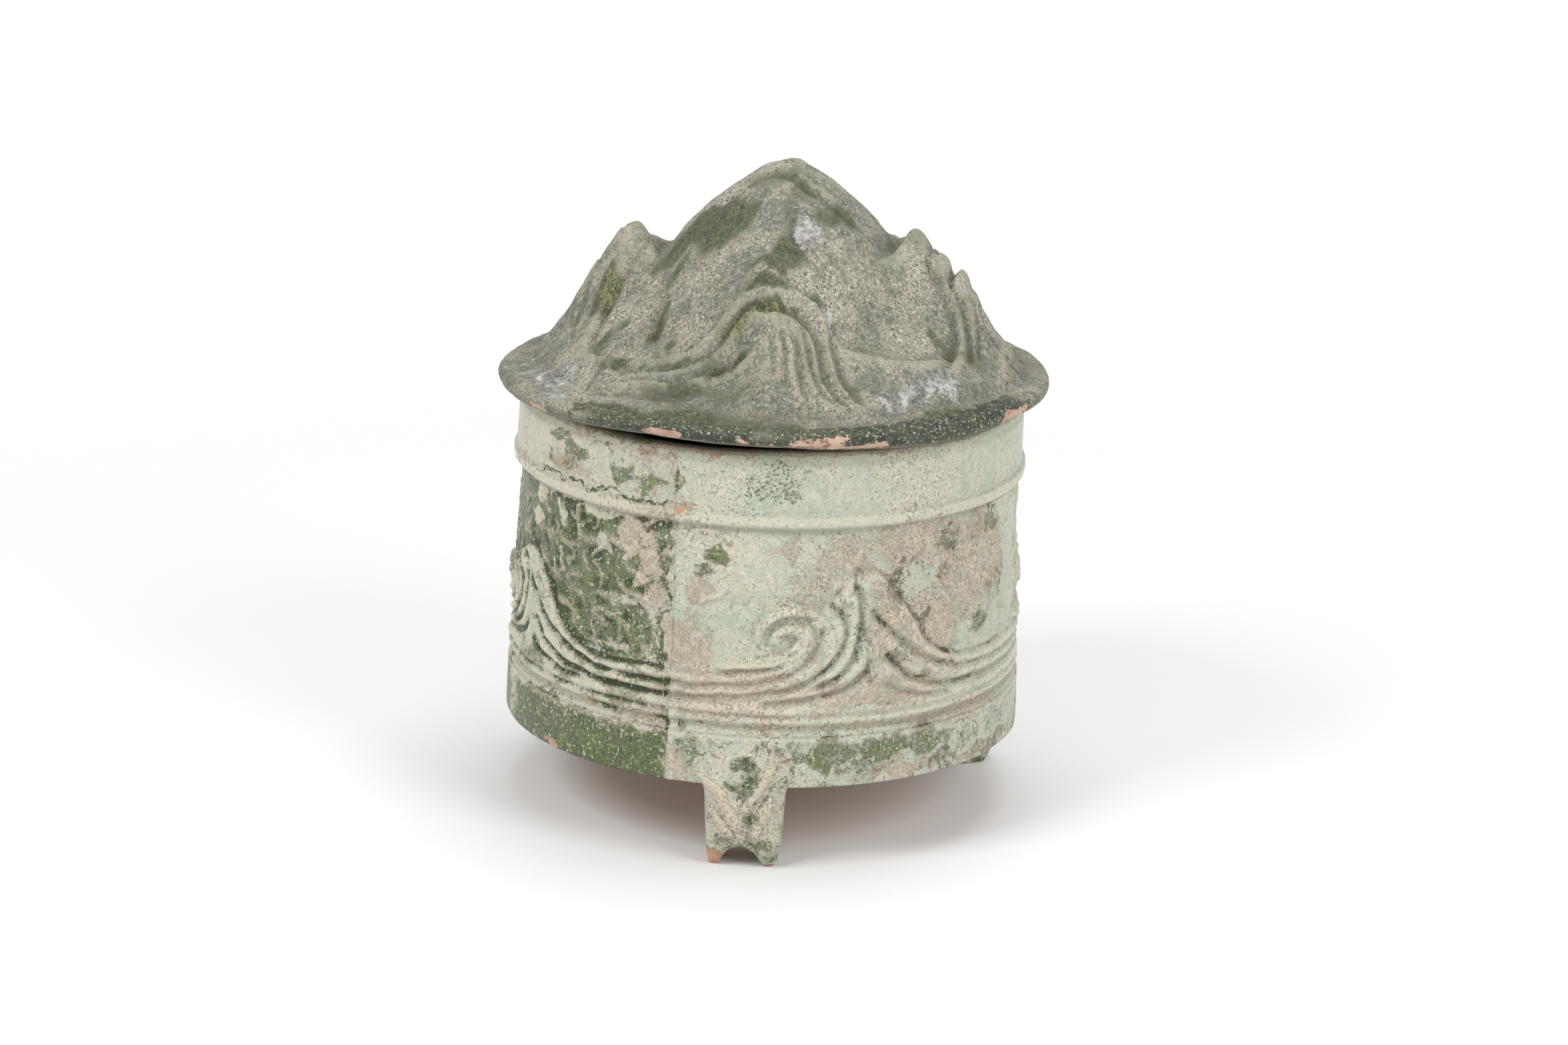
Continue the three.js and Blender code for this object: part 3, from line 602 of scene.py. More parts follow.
def wall_glaze():
    """Green lead glaze, whole, decayed to a pale bloom, or flaked from buff clay, as painted."""
    shading = Shading("worn_wall_glaze")
    place = shading.place()
    layers = ("green", "bare", "brown", "chip", "fleck", "tint", "raised", "sharp")
    green, bare, brown, chip, fleck, tint, raised, sharp = map(shading.painted, layers)
    grain = shading.noise(place, 0.7, 3, 0.8)
    fine = shading.noise(place, 2.2, 6, 0.8, 0.6)
    middle = shading.noise(place, 8, 6, 0.72, 0.9)
    wide = shading.noise(place, 30, 3, 0.5)
    dots = shading.noise(place, 1.1, 2, 0.65)
    cover = green * 0.75 + grain * 0.5 + fine * 1.5 + middle
    kept = cover.step(0.4, 0.47) * sharp + cover.step(0.36, 0.62) * (1 - sharp)
    thin = 1 - cover.step(0.46, 0.74)

    mottle = fine * 1.2 + middle * 0.6 + grain * 0.8
    cast = (tint * 0.4 + wide + middle * 1.4).step(-0.4, 0.4)
    pale = shading.between(cast, (184, 194, 176), (207, 202, 180))
    pale = shading.coat(pale, mottle.step(0.03, 0.2) * 0.6, 228, 223, 204)
    pale = shading.coat(pale, (mottle * -1).step(0.04, 0.24) * 0.6, 146, 150, 122)
    stripped = (bare + fine * 1.6 + middle * 1.5 + grain * 0.6 + wide * 0.5).step(0.42, 0.62)
    buff = shading.between((middle - mottle).step(-0.24, 0.2), (210, 199, 180), (170, 152, 130))
    colour = shading.mix(stripped * 0.85, pale, buff)
    lit = (raised + fine * 1.2).step(0.15, 0.7)
    colour = shading.coat(colour, lit * 0.45, 226, 218, 195)
    # Painted shade and grime: places lying below their surroundings darken towards brown-grey, standing in
    # for the shade in the hollows as well as the soil lodged there.
    grime_and_shade = (raised * -1 + fine * 2 + middle * 1.2).step(0.3, 0.8)
    colour = shading.coat(colour, grime_and_shade * 0.4, 146, 136, 112)
    colour = shading.coat(colour, (brown + middle * 1.2 + fine * 1.4).step(0.4, 0.74) * 0.75, 166, 146, 119)
    worn = (middle + wide).step(-0.1, 0.2)
    colour = shading.coat(colour, (dots + worn * 0.08).step(0.12, 0.19) * 0.6, 112, 112, 86)
    colour = shading.coat(colour, (dots * -1 + worn * 0.08).step(0.14, 0.22) * 0.5, 240, 235, 220)

    leaf = shading.between((middle + grain + fine * 1.4).step(-0.14, 0.16), (44, 60, 28), (112, 128, 76))
    leaf = shading.coat(leaf, (wide + middle * 1.2 + fine).step(0.02, 0.36) * 0.7, 136, 142, 108)
    leaf = shading.coat(leaf, thin * 0.5, 150, 154, 122)
    leaf = shading.coat(leaf, (raised * -1 + fine * 1.4).step(0.1, 0.4) * 0.7, 40, 52, 28)
    leaf = shading.coat(leaf, (raised + fine * 1.6).step(0.1, 0.34) * 0.8, 172, 164, 140)
    leaf = shading.coat(leaf, (dots + fine * 0.9).step(0.12, 0.18) * 0.7, 216, 213, 190)
    leaf = shading.coat(leaf, (dots * -1 + fine * 0.9).step(0.1, 0.17) * 0.7, 28, 38, 22)
    colour = shading.mix(kept, colour, leaf)
    spots = shading.noise(place, 1.0, 3, 0.65)
    flecks = (spots + (fleck - 0.5) * 0.3).step(0.08, 0.13) * (1 - kept)
    colour = shading.coat(colour, flecks * 0.8, 76, 94, 70)
    clay_mask = (chip + fine * 0.9 + middle * 0.6).step(0.46, 0.56)
    orange = shading.between(fine.step(-0.2, 0.2), (184, 136, 106), (214, 178, 152))
    shading.surface("Base Color", shading.mix(clay_mask, colour, orange))
    rough = 0.3 + 0.36 * stripped * (1 - kept) + 0.36 * clay_mask + grain * 0.3 + fine * 0.2
    shading.surface("Roughness", rough)
    skin = kept * 0.25 - stripped * (1 - kept) * 0.3 + fine * 0.7 + middle * 0.5
    skin = skin + grain * 0.4 - clay_mask * 0.4
    shading.bump(skin, 0.9, 0.9)
    return shading.material


glaze = wall_glaze()
outer_heights = np.concatenate([[0, 0.6], np.arange(1.2, wall_height - lip_round, wall_row)])
inner_heights = np.array([wall_height - lip_round, 104, 88, 72, 56, 40, 24, 9, 0.6, 0])


def wall_half(name, node, start, end):
    outer = [(wall_radius(h), h + foot_height) for h in outer_heights]
    rim_shape = [(-1.5, -0.5), (-2.3, 0), (-wall_thickness / 2, 0), (1.2 - wall_thickness, 0)]
    top = [(rim_radius + r, wall_height + h + foot_height) for r, h in rim_shape]
    inner = [(wall_radius(h) - wall_thickness, h + foot_height) for h in inner_heights]
    gap_angle = math.degrees(seam_gap / 2 / base_radius)
    sweep = end - start - 2 * gap_angle
    piece = spin_section(name, outer + top + inner, start + gap_angle, sweep, wall_columns, True)
    close_and_turn_out(piece)
    points = vertices_of(piece)
    outside = stations_of(piece) < len(outer)
    inside = stations_of(piece) >= len(outer) + len(top)
    bearing = np.degrees(np.arctan2(points[:, 0], -points[:, 1]))
    height = points[:, 2] - foot_height
    radius = np.hypot(points[:, 0], points[:, 1])

    wander = 0.45 * lumps(points, 7, 15, 2), 0.7 * lumps(points, 6, 17, 2)
    hills, groove, body = hills_of_frieze(bearing + wander[0], height + wander[1])
    figures = figures_of_frieze(bearing, height)
    field = smoothstep(frieze_low - 1, frieze_low + 1, height)
    field = field * (1 - smoothstep(frieze_high - 0.6, ridge_low, height))
    left = smoothstep(seam_bearing + 0.3, seam_bearing - 0.3, turn(0, bearing))
    left = left * smoothstep(seam_bearing - 180.3, seam_bearing - 179.7, turn(0, bearing))
    crisp = np.maximum(left, smoothstep(40, 62, np.abs(turn(0, bearing))))
    bent = points + 6 * np.stack([lumps(points, 14, seed, 2) for seed in (61, 64, 67)], 1)
    scroll = np.zeros(len(points))
    for size, proud, seed in scrolls:
        ridge = smoothstep(0, 1, 1 - np.abs(lumps(bent, size, seed, 1)) / 0.2)
        broken = smoothstep(-0.4, 0.4, lumps(points, 12, seed + 20, 2))
        scroll = scroll + proud * ridge * broken * (0.25 + 0.75 * crisp)
    scroll = (scroll + 0.6 * lumps(points, 13, 79)) * (1 - body)
    scroll = scroll * smoothstep(field_low, field_low + 6, height)
    wear = 1 + 0.3 * lumps(points, 9, 5)
    relief = field * np.maximum(np.maximum(hills, figures), scroll) * wear
    from_seams = [np.abs(turn(seam_bearing + half_turn, bearing)) for half_turn in (0, 180)]
    seam = np.minimum(*from_seams) * degree_arc
    to_right = turn(seam_bearing, bearing) * degree_arc
    pressed = np.maximum(0.6 * gauss(to_right - 2, 1.8), 0.3 * gauss(seam, 1.4))
    luting = (0.4 + lattice_noise(points, 6, 8)) * pressed
    ragged = 0.35 * lumps(points, 16, 3) + 0.28 * lumps(points, 4.5, 9, 3) * (0.35 + field)
    face = wall_radius(height) + bands(height) + relief + ragged + luting
    column = np.rint((bearing - start - gap_angle) % 360 / (sweep / wall_columns)).astype(int)
    column = column % (wall_columns + 1)
    raised = raised_above(np.where(outside, face - wall_radius(height), 0), column, stations_of(piece))
    raised = np.clip(raised / 0.8, -1, 1) * outside
    face = face - lip_round * smoothstep(wall_height - 1.6, wall_height, height)
    middle, half_width, deep = rim_dip
    sunk = deep * gauss(turn(middle, bearing), half_width) * smoothstep(wall_height - 8, wall_height, height)
    handmade = 0.45 * lumps(points, 26, 13) + 0.15 * lumps(points, 7, 14)
    radius = np.where(outside, face, radius + inside * handmade)
    angle = np.radians(bearing)
    place(piece, np.stack([radius * np.sin(angle), -radius * np.cos(angle), points[:, 2] - sunk], 1))

    bearing = bearing + 3 * lumps(points, 8, 21) + 1.6 * lumps(points, 2.6, 25, 2)
    height = height + 3.8 * lumps(points, 8, 29) + 2.2 * lumps(points, 2.6, 33, 2)
    low_band = 1 - smoothstep(plain_band_top - 2.4, plain_band_top + 2.2, height)
    in_field = smoothstep(field_low, field_low + 3, height)
    strip = smoothstep(plain_band_top, frieze_low, height) * (1 - in_field)
    in_field = in_field * (1 - smoothstep(frieze_high - 2.5, frieze_high, height))
    green_left = 0.95 * low_band + 0.82 * in_field * (1 - body)
    green_left = green_left + (strip + in_field * body) * (0.5 + 0.25 * groove)
    green_left = green_left - (0.24 * strip + 0.2 * in_field) * raised
    middle, half_width, at, half_height, amount = green_line
    on_line = np.abs(turn(middle, bearing)) < half_width
    green_left = green_left + amount * gauss(height - at, half_height) * on_line
    green_left = green_left + 0.3 * smoothstep(neck_low, neck_low + 3, height) * (0.5 + lumps(points, 14, 43))
    green_left = green_left + 0.2 * gauss(height - 23, 1.3)
    green_left = green_left + 0.12 * in_field * lumps(points, 20, 41) + 0.5 * strip * lumps(points, 7, 45)
    green_left = np.minimum(green_left, 1) * (1 - 0.9 * patched(worn_patches, bearing, height))
    pooled = groove * smoothstep(8, 20, bearing) * (0.36 + 0.5 * lumps(points, 9, 46))
    green_right = 0.12 * groove + 0.46 * low_band + pooled + 0.36 * low_band * lumps(points, 18, 44)
    edge = seam_bearing - 1.3 - 1.4 * lumps(points, 5, 85)
    left_paint = smoothstep(edge + 0.6, edge - 0.6, turn(0, bearing))
    green = left * left_paint * green_left + (1 - left) * green_right
    dotted = gauss(turn(seam_bearing - 1.4, bearing), 0.9) * (height < 118)
    dotted = dotted * (0.6 + 1.2 * lumps(points, 6, 87))
    green = np.maximum(np.maximum(green, dotted), 0.9 * patched(green_patches, bearing, height))
    hidden = smoothstep(78, 96, np.abs(turn(-2, bearing)))
    green = green + hidden * (0.34 * lumps(points, 26, 47) + 0.1)
    green = green - 0.5 * gauss(seam - 1.8, 1.4) * (1 - left) * (height < 97)
    bare = 0.2 + 0.66 * patched(bare_patches, bearing, height) + 0.2 * hidden
    bare = bare + 0.3 * left * smoothstep(-45, -17, bearing)
    bare = bare - 0.14 * smoothstep(neck_low, neck_low + 4, height) * (1 - left)
    tint = 0.6 * left + 0.7 * patched(yellow_patches, bearing, height)
    tint = tint - 0.7 * patched(blue_patches, bearing, height)
    inner_green = 0.42 + 0.3 * lumps(points, 30, 51)
    paint(piece, green=np.where(outside, green, inner_green), bare=np.where(outside, bare, 0.75),
          brown=np.where(outside, patched(brown_patches, bearing, height), 0.3),
          chip=np.where(outside, patched(clay_patches, bearing, height), np.where(inside, 0.2, 0.42)),
          fleck=patched(fleck_patches, bearing, height) + 0.2 * groove, tint=tint, raised=raised, sharp=left)
    finish(piece, glaze, "jar", node)


wall_half("wall_left_half", "wall_left", seam_bearing - 180, seam_bearing)
wall_half("wall_right_half", "wall_right", seam_bearing, seam_bearing + 180)


# The three bear feet. Each was pressed in one mould as a crouching bear, arms drawn down to the
# chest, haunches below and two toes, and luted to the wall's foot band before glazing.
foot_bearings = {"foot_front": 2, "foot_right": 122, "foot_left": 242}
foot_top = 49
foot_back = 75
foot_middle = 87
foot_half_width = [
    (0, 12.2), (4, 13.1), (9, 13.7), (14, 13.9), (21, 14.2), (26, 14.8), (29, 16), (31.5, 18.2), (34, 19.8),
    (38, 20), (42, 18), (45, 14), (47.5, 8), (49, 3),
]
foot_proud = [  # of the wall's face, by height
    (0, -3.6), (2, -1.2), (5, 0.6), (9, 1.6), (15, 1.9), (22, 2.3), (28, 2.7), (33, 2.5), (39, 1.7),
    (44, 0.7), (47, -0.3), (49, -1.4),
]
foot_sole = [  # the underside's height, by the distance across
    (-16, 7), (-14.2, 2.8), (-13, 0.7), (-11.6, 0), (-9.6, 0), (-8.2, 1.2), (-6.6, 4), (-4.2, 6.2),
    (-0.5, 6.8), (2, 5.8), (4, 4.6), (5.6, 2.6), (7, 0.5), (9, 0), (11, 0.4), (12.6, 2.4), (16, 7),
]
bear_limbs = [  # half width, height, points (across, height)
    (2.5, 2.4, [(-19, 39.4), (-16.4, 34), (-9.6, 29.8), (-6.7, 24.2), (-2.1, 16.4), (-1.2, 13.3)]),
    (2.0, 2.3, [(10.6, 42.6), (7.7, 35), (4.7, 30), (-0.2, 22.4), (-1.7, 20.3)]),
    (2.2, 1.9, [(-14, 26), (-10.8, 21.5), (-7, 16), (-2.3, 10.4)]),
    (2.2, 1.9, [(11.8, 27.8), (7.8, 20.8), (4.7, 14.8), (1.3, 11.2)]),
    (3.4, 1.8, [(-12.4, 9), (-11.6, 4)]),
    (3.4, 1.8, [(9.4, 9.5), (9, 4)]),
    (2.0, -0.6, [(-11, 27), (-8, 21), (-4.6, 15)]),
    (2.0, -0.6, [(9, 24), (5, 17.6), (2.2, 15)]),
    (2.2, 0.9, [(-3, 37), (-1.6, 30)]),
]
foot_sides = 160
foot_rows = 92
sole_rings = [0.04, 0.3, 0.55, 0.76, 0.9, 0.97]  # of the way from the sole's middle to its edge


def curve_of(table, value):
    line = smooth_line(table)
    return np.interp(value, line[:, 0], line[:, 1])


def bear_foot(name, node, bearing):
    ring_share = np.concatenate([sole_rings, np.ones(foot_rows)])
    ring_height = np.concatenate([np.zeros(len(sole_rings)), np.linspace(0, foot_top, foot_rows)])
    bpy.ops.object.select_all(action="DESELECT")
    bpy.ops.mesh.primitive_cylinder_add(vertices=foot_sides, radius=1, depth=2, end_fill_type="NGON")
    piece = bpy.context.object
    piece.name = name
    bpy.ops.object.mode_set(mode="EDIT")
    bpy.ops.mesh.select_all(action="DESELECT")
    cage = bmesh.from_edit_mesh(piece.data)
    upright = [e for e in cage.edges if abs(e.verts[0].co.z - e.verts[1].co.z) > 1]
    bmesh.ops.subdivide_edges(cage, edges=upright, cuts=len(ring_share) - 2, use_grid_fill=False)
    bmesh.update_edit_mesh(piece.data)
    bpy.ops.object.mode_set(mode="OBJECT")
    unit = vertices_of(piece)
    ring = np.rint((unit[:, 2] + 1) / 2 * (len(ring_share) - 1)).astype(int)
    around = np.arctan2(unit[:, 1], unit[:, 0])
    level, share = ring_height[ring], ring_share[ring]
    cosine, sine = np.cos(around), np.sin(around)
    half = curve_of(foot_half_width, level)
    x = half * np.sign(cosine) * np.abs(cosine) ** 0.72
    rest = curve_of(foot_sole, x * share)
    z = rest + level * (foot_top - rest) / foot_top
    spots = np.stack([x, z], 1)
    proud = curve_of(foot_proud, level) * (1 - 0.45 * np.abs(x / half) ** 4)
    limbs = np.zeros(len(x))
    for half_width, tall, points in bear_limbs:
        mark = tall * stroke(spots, smooth_line(points), half_width, 5)
        limbs = np.where(np.abs(mark) > np.abs(limbs), mark, limbs)
    front = np.sqrt(base_radius**2 - x**2) + proud + limbs * smoothstep(50, 42, z)
    reach = np.where(sine > 0, (front - foot_middle) * np.abs(sine) ** 0.42,
                     -(foot_middle - foot_back) * np.abs(sine) ** 0.7)
    seed = 60 + bearing
    local = np.stack([x * share, reach * share, z], 1)
    rough = 0.35 * lumps(local, 9, seed) + 0.14 * lumps(local, 3, seed + 4, 2)
    outward = foot_middle + (reach + rough * np.sign(sine) * smoothstep(0, 3, z)) * share
    across = x * share + 0.3 * lumps(local, 7, seed + 9) * cosine * smoothstep(0, 3, z)
    a = math.radians(bearing)
    z = np.maximum(z, 0)
    place(piece, np.stack([across * math.cos(a) + outward * math.sin(a),
                           across * math.sin(a) - outward * math.cos(a), z], 1))
    close_and_turn_out(piece)
    belly = 1 - smoothstep(0.6, 1.3, np.hypot((x + 0.5) / 7.5, (z - 34) / 8))
    green = 0.2 * belly + 0.42 - 0.2 * limbs + 0.55 * lumps(local, 9, seed + 20)
    green = green + 0.3 * gauss(np.hypot(x - 8, z - 8), 4) + 0.3 * gauss(np.hypot(x + 10, z - 20), 3.4)
    if node == "foot_front":
        toe = gauss(np.hypot(x + 11, z - 3), 5.5) + 0.8 * gauss(np.hypot(x - 9, z), 2.6)
    else:
        toe = 0.5 * gauss(z, 1.5)
        green = green + 0.225
    bare = 0.3 + 0.5 * smoothstep(0.5, 1.4, limbs) + 0.3 * lumps(local, 12, seed + 30)
    paint(piece, green=green, bare=bare, brown=np.zeros(len(x)), chip=toe, fleck=np.full(len(x), 0.35),
          tint=0.4 - 0.3 * belly, raised=np.clip(limbs / 1.8 - 0.3, -1, 1), sharp=np.full(len(x), 0.2))
    finish(piece, glaze, "jar", node)


for node, bearing in foot_bearings.items():
    bear_foot("bear_" + node, node, bearing)


# The lid. One sheet of clay pressed into a mould of a summit with four foothills, trimmed to a
# round flange that rests on the rim. Its dark green glaze lies under a grey-brown crust of soil.
seat = foot_height + wall_height + joint_gap
lid_radius = 101
lid_edge = 7.8
flange_fall = 0.12
summit_height = 84
summit_round = 21
summit_right = 4
slope_left = 1.1
slope_right = 1.12
crown_thickness = 11
hollow_steepness = 1.165
seat_inner_radius = 81.5
step_height = 3.6
fold_strength = 1.1
end_profile = [
    (36, 0), (41, 0), (45, 3), (49, 6.5), (53, 8.0), (57, 9.5), (62, 11.6), (67, 11.0), (72, 8.6), (78, 6),
    (85, 4), (93, 2), (99, 0),
]
foothills = [  # bearing, half width, profile as (radius, height over the cone)
    (3, 14, end_profile),
    (87, 15, [(36, -2.8), (39, -4.2), (42, -5), (43.6, -2.8), (46, 3.8), (48.5, 7.6), (51, 9.2),
              (54, 9.8), (56.7, 10), (58.4, 8.8), (60, 10), (62, 10.6), (63.6, 9.8), (65, 9.4),
              (67, 12.2), (69.5, 12.6), (71.5, 11), (74, 8.8), (76.5, 6.4), (80, 4.4), (84, 4), (87, 4.4),
              (93, 3.2), (99, 1)]),
    (183, 14, end_profile),
    (268, 15, [(34, 0.5), (38.5, -1.2), (41.5, -2.4), (43.6, 1.4), (46, 7), (49, 12), (52.5, 16.4),
               (56, 19.6), (59.3, 18.7), (62.7, 17), (66, 15.6), (69.6, 13.1), (73, 10.3), (76.4, 7),
               (82, 5.4), (88, 4.2), (93, 2.4), (99, 0)]),
]
valleys = [  # bearing, depth, radius, half angle
    (-42, 7.0, 60, 24), (50, 7.0, 61, 20), (137, 6.0, 62, 24), (-137, 6.0, 62, 24),
]
valley_width = 14
# Where the hills step down to the skirt, over the front half of the lid; the back half is alike.
mountain_foot = [
    (-92, 46), (-86, 47), (-80, 52), (-75, 59), (-71, 65), (-66, 70.5), (-60, 73), (-54, 72.6), (-48, 71.2),
    (-40, 70), (-32, 68.4), (-26, 66.2), (-21, 62.8), (-16, 60), (-12, 57), (-9, 54.6), (-4, 53.4), (3, 53.6),
    (9, 54), (14, 55), (19, 56.6), (22.6, 59.4), (24.6, 63), (27, 66.2), (31, 67.6), (41, 69), (48, 70.8),
    (55, 72.6), (61, 74), (67, 73.6), (71, 71.2), (74, 67.4), (76.5, 63), (80, 56.5), (84, 50), (88, 46),
]
nose_bearings = [1, 181]  # the small blunt peaks above the foothills in front and behind
nose_radius = 48
nose_height = 6.2
# How high the warped edge's underside stands off the rim, by bearing.
edge_gap = [
    (-180, 1.2), (-140, 1.2), (-100, 1.4), (-73, 1.7), (-60, 1.6), (-50, 1.9), (-41, 2.9), (-31, 3.9),
    (-22, 4.7), (-7, 4.4), (8, 4.1), (23, 3.4), (31, 2.9), (39, 2.6), (49, 2.6), (61, 3.4), (69, 4.2),
    (82, 3.4), (100, 2), (140, 1.2), (180, 1.2),
]
# The fold lines of the front: half width, height or depth, points (bearing, radius).
front_folds = [
    (1.3, -1.2, [(-10, 51.5), (-7, 51.5), (-2, 55.5), (3, 56), (8.5, 52), (12.5, 52), (14.5, 56.5)]),
    (1.4, 0.9, [(-11, 58.5), (-8.5, 57), (-5.5, 56), (-1, 57), (4.5, 58), (9, 57.5), (13, 57.5),
                (16.5, 58), (21.5, 55.5)]),
    (1.1, -0.9, [(-31, 65), (-23, 66), (-19.5, 63.5), (-17.5, 58), (-15, 56), (-12.5, 54), (-8.5, 57),
                 (-4.5, 57.5), (0.5, 59.5), (5.5, 60), (10.5, 59), (14.5, 59), (18, 59.5)]),
    (1.2, -1.3, [(-45.5, 75.5), (-38.5, 74), (-32, 72.5), (-26.5, 71), (-21.5, 69), (-18, 66.5)]),
    (2.2, 1.6, [(-51, 74.5), (-43.5, 73), (-36, 72), (-30.5, 71), (-25.5, 69.5), (-21, 68), (-17.5, 65.5),
                (-14, 63.5), (-11.5, 61), (-9, 59.5), (-5.5, 59), (-1.5, 59.5), (3, 60.5), (7.5, 60),
                (12, 59), (16.5, 59), (21, 59.5)]),
    (1.8, -2.2, [(-42, 76), (-34.5, 74), (-26, 72.5), (-20.5, 71.5), (-16, 69.5), (-12.5, 67.5),
                 (-10, 66), (-8, 65), (-6.5, 64), (-5, 63), (-2, 63.5), (1.5, 64), (5, 64), (9, 63.5),
                 (12, 63), (14.5, 63.5), (16.5, 64.5), (18, 67), (18.5, 69.5), (18.5, 73), (19, 76.5),
                 (20.5, 79), (22, 81.5), (24.5, 84)]),
    (1.8, 1.0, [(-39, 78), (-29, 76), (-23, 75), (-17.5, 73), (-13.5, 71), (-10.5, 69.5), (-8, 68),
                (-6.5, 66.5)]),
    (2.0, 1.8, [(-9.5, 66.5), (-7.5, 66), (-5.5, 66), (-2.5, 66.5), (1.5, 68), (4.5, 68), (6.5, 68.5),
                (7.5, 69.5)]),
    (1.3, -1.5, [(-43.5, 82), (-37.5, 80), (-31.5, 78.5), (-26.5, 78), (-23, 77.5), (-18.5, 76),
                 (-15.5, 74), (-12.5, 72), (-10, 70.5), (-7.5, 69.5)]),
    (1.2, -1.4, [(-7.5, 69.5), (-5.5, 69.5), (-3, 70.5), (-1.5, 72)]),
    (3.0, -1.8, [(-12.5, 75), (-9.5, 74.5), (-7, 74), (-4.5, 73.5), (-2.5, 73.5)]),
    (2.2, 1.7, [(-44.5, 83), (-38.5, 82), (-30.5, 80.5), (-22.5, 80.5), (-18.5, 79.5), (-14, 78.5),
                (-9, 77.5), (-5.5, 77), (-2.5, 76.5), (-0.5, 75.5), (0.5, 74)]),
    (1.4, -1.2, [(-36.5, 83), (-30.5, 82.5), (-25, 82), (-20.5, 82), (-16, 80.5), (-11.5, 79.5)]),
    (5.5, 1.2, [(2, 70), (2.5, 73.5), (2.5, 77.5), (3.5, 82)]),
    (1.2, -1.5, [(6, 69), (7.5, 70.5), (8, 73), (8, 76.5), (8.5, 79.5), (9, 82)]),
    (1.3, -1.6, [(9, 68.5), (10.5, 69.5), (11.5, 71), (11.5, 74), (12, 77), (12.5, 80), (13.5, 82.5)]),
    (1.3, -1.6, [(12.5, 65.5), (14, 66.5), (14.5, 69), (15, 71.5), (15.5, 74.5), (16.5, 77), (17.5, 79.5),
                 (19.5, 81.5), (21.5, 83.5)]),
    (1.8, -2.2, [(24.5, 58.5), (22.5, 65), (22.5, 69), (23, 72.5), (23, 75.5), (24, 78.5), (25.5, 81),
                 (28, 83.5)]),
    (1.8, 1.3, [(22.5, 56.5), (21.5, 63.5), (21, 68), (21, 73), (21.5, 76.5), (23, 79.5), (25, 82.5)]),
    (2.6, -1.6, [(-47, 49), (-47.5, 51), (-46.5, 54), (-43.5, 56.5), (-41, 60)]),
    (4.0, 1.2, [(-41.5, 49.5), (-43, 52), (-41, 54.5), (-38.5, 57.5)]),
    (4.0, -0.5, [(-55, 49.5), (-49, 46), (-39.5, 42.5), (-29, 40)]),
    (0.9, -1.0, [(-40, 79.6), (-33, 77.4), (-27, 76.2), (-21, 75.2), (-16.5, 73.4), (-13, 71.2),
                 (-10.5, 69.6)]),
    (0.9, -0.9, [(-44, 84.4), (-36, 83.8), (-28, 83.6), (-20, 83.2), (-13, 82)]),
    (0.9, -1.0, [(-47, 73), (-40, 71.4), (-33, 70.4), (-27, 69), (-22, 67), (-18.5, 64)]),
    (0.8, -0.9, [(-8, 61.6), (-3, 61.4), (3, 62.2), (9, 61.6), (14, 61), (19, 62.4)]),
    (0.8, -1.0, [(4, 71), (4.6, 74), (4.8, 77.4), (5.6, 81)]),
    (1.4, -0.8, [(-48, 75), (-47.5, 78.5), (-47.5, 81.5), (-46, 85.5)]),
    (1.5, -0.9, [(28.5, 42), (32.5, 41.5), (35.5, 42.5), (37, 44.5), (37, 46.5), (35.5, 49)]),
    (1.4, -0.8, [(32, 43), (34.5, 43.5)]),
    (2.4, 0.5, [(32.5, 39), (37.5, 39.5), (41, 42), (41.5, 45.5), (39, 51)]),
    (1.5, -1.2, [(-44, 15), (-35, 11.5), (-15, 10), (15, 11.5), (28.5, 14.5), (37, 19), (46.5, 23.5),
                 (53.5, 28), (61, 32.5), (67.5, 37)]),
    (1.5, 0.9, [(-47, 13), (-42, 9.5), (-17, 7.5), (21.5, 9), (36.5, 13), (44, 17.5), (53, 22), (60, 26.5)]),
    (1.4, -1.1, [(50.5, 12.5), (56.5, 17), (62, 23), (69, 28.5), (74, 34)]),
    (1.3, -1.0, [(89, 14), (78, 19), (73.5, 25), (70.5, 30.5)]),
    (2.4, -1.2, [(-67, 27.5), (-64.5, 23), (-58.5, 19), (-45.5, 15.5)]),
    (4.0, 0.8, [(-51.5, 29.5), (-32.5, 30.5), (-19, 34.5), (-15, 38)]),
]
# The folds of the right-hand foothill's near flank. Its far flank matches, and so does the far
# flank of the foothill opposite.
side_folds = [
    (2.2, 1.0, [(81, 54), (79, 57), (77.5, 60), (75.5, 63), (74, 66), (71.5, 68.5), (68, 70.5)]),
    (1.7, -2.2, [(91, 57.5), (86, 56), (81, 56), (79.5, 57.5), (78, 59.5), (77, 62.5), (75.5, 65),
                 (74, 67.5), (72.5, 69.5), (71, 71.5), (67.5, 73), (60, 76), (55, 76.5)]),
    (1.5, 1.2, [(80, 59), (78.5, 61.5), (77, 65), (76, 67.5), (74.5, 70), (72.5, 72), (69, 74.5),
                (63.5, 79)]),
    (1.0, -1.0, [(78, 65), (76.5, 68), (75.5, 70.5), (73, 72.5)]),
    (1.6, -2.1, [(91, 65.5), (86, 64.5), (81, 64), (79.5, 65.5), (78, 67.5), (77, 69.5), (76.5, 71.5),
                 (75, 73.5), (71.5, 76), (67, 79.5)]),
    (1.3, -1.5, [(91, 72.5), (87, 71), (84, 71), (83, 72.5), (82, 74.5), (79.5, 76), (76.5, 77.5),
                 (71.5, 80)]),
    (1.2, -1.4, [(87.5, 73), (85, 75.5), (83, 78.5), (82.5, 81), (83, 84)]),
    (1.6, -1.6, [(82.5, 83), (83, 85.5), (83.5, 88), (85.5, 90.5)]),
    (1.2, -1.2, [(94, 67.5), (98, 69.5), (102, 71.5)]),
    (1.2, -1.2, [(94.5, 68.5), (98, 70.5), (101.5, 73), (106, 75)]),
]
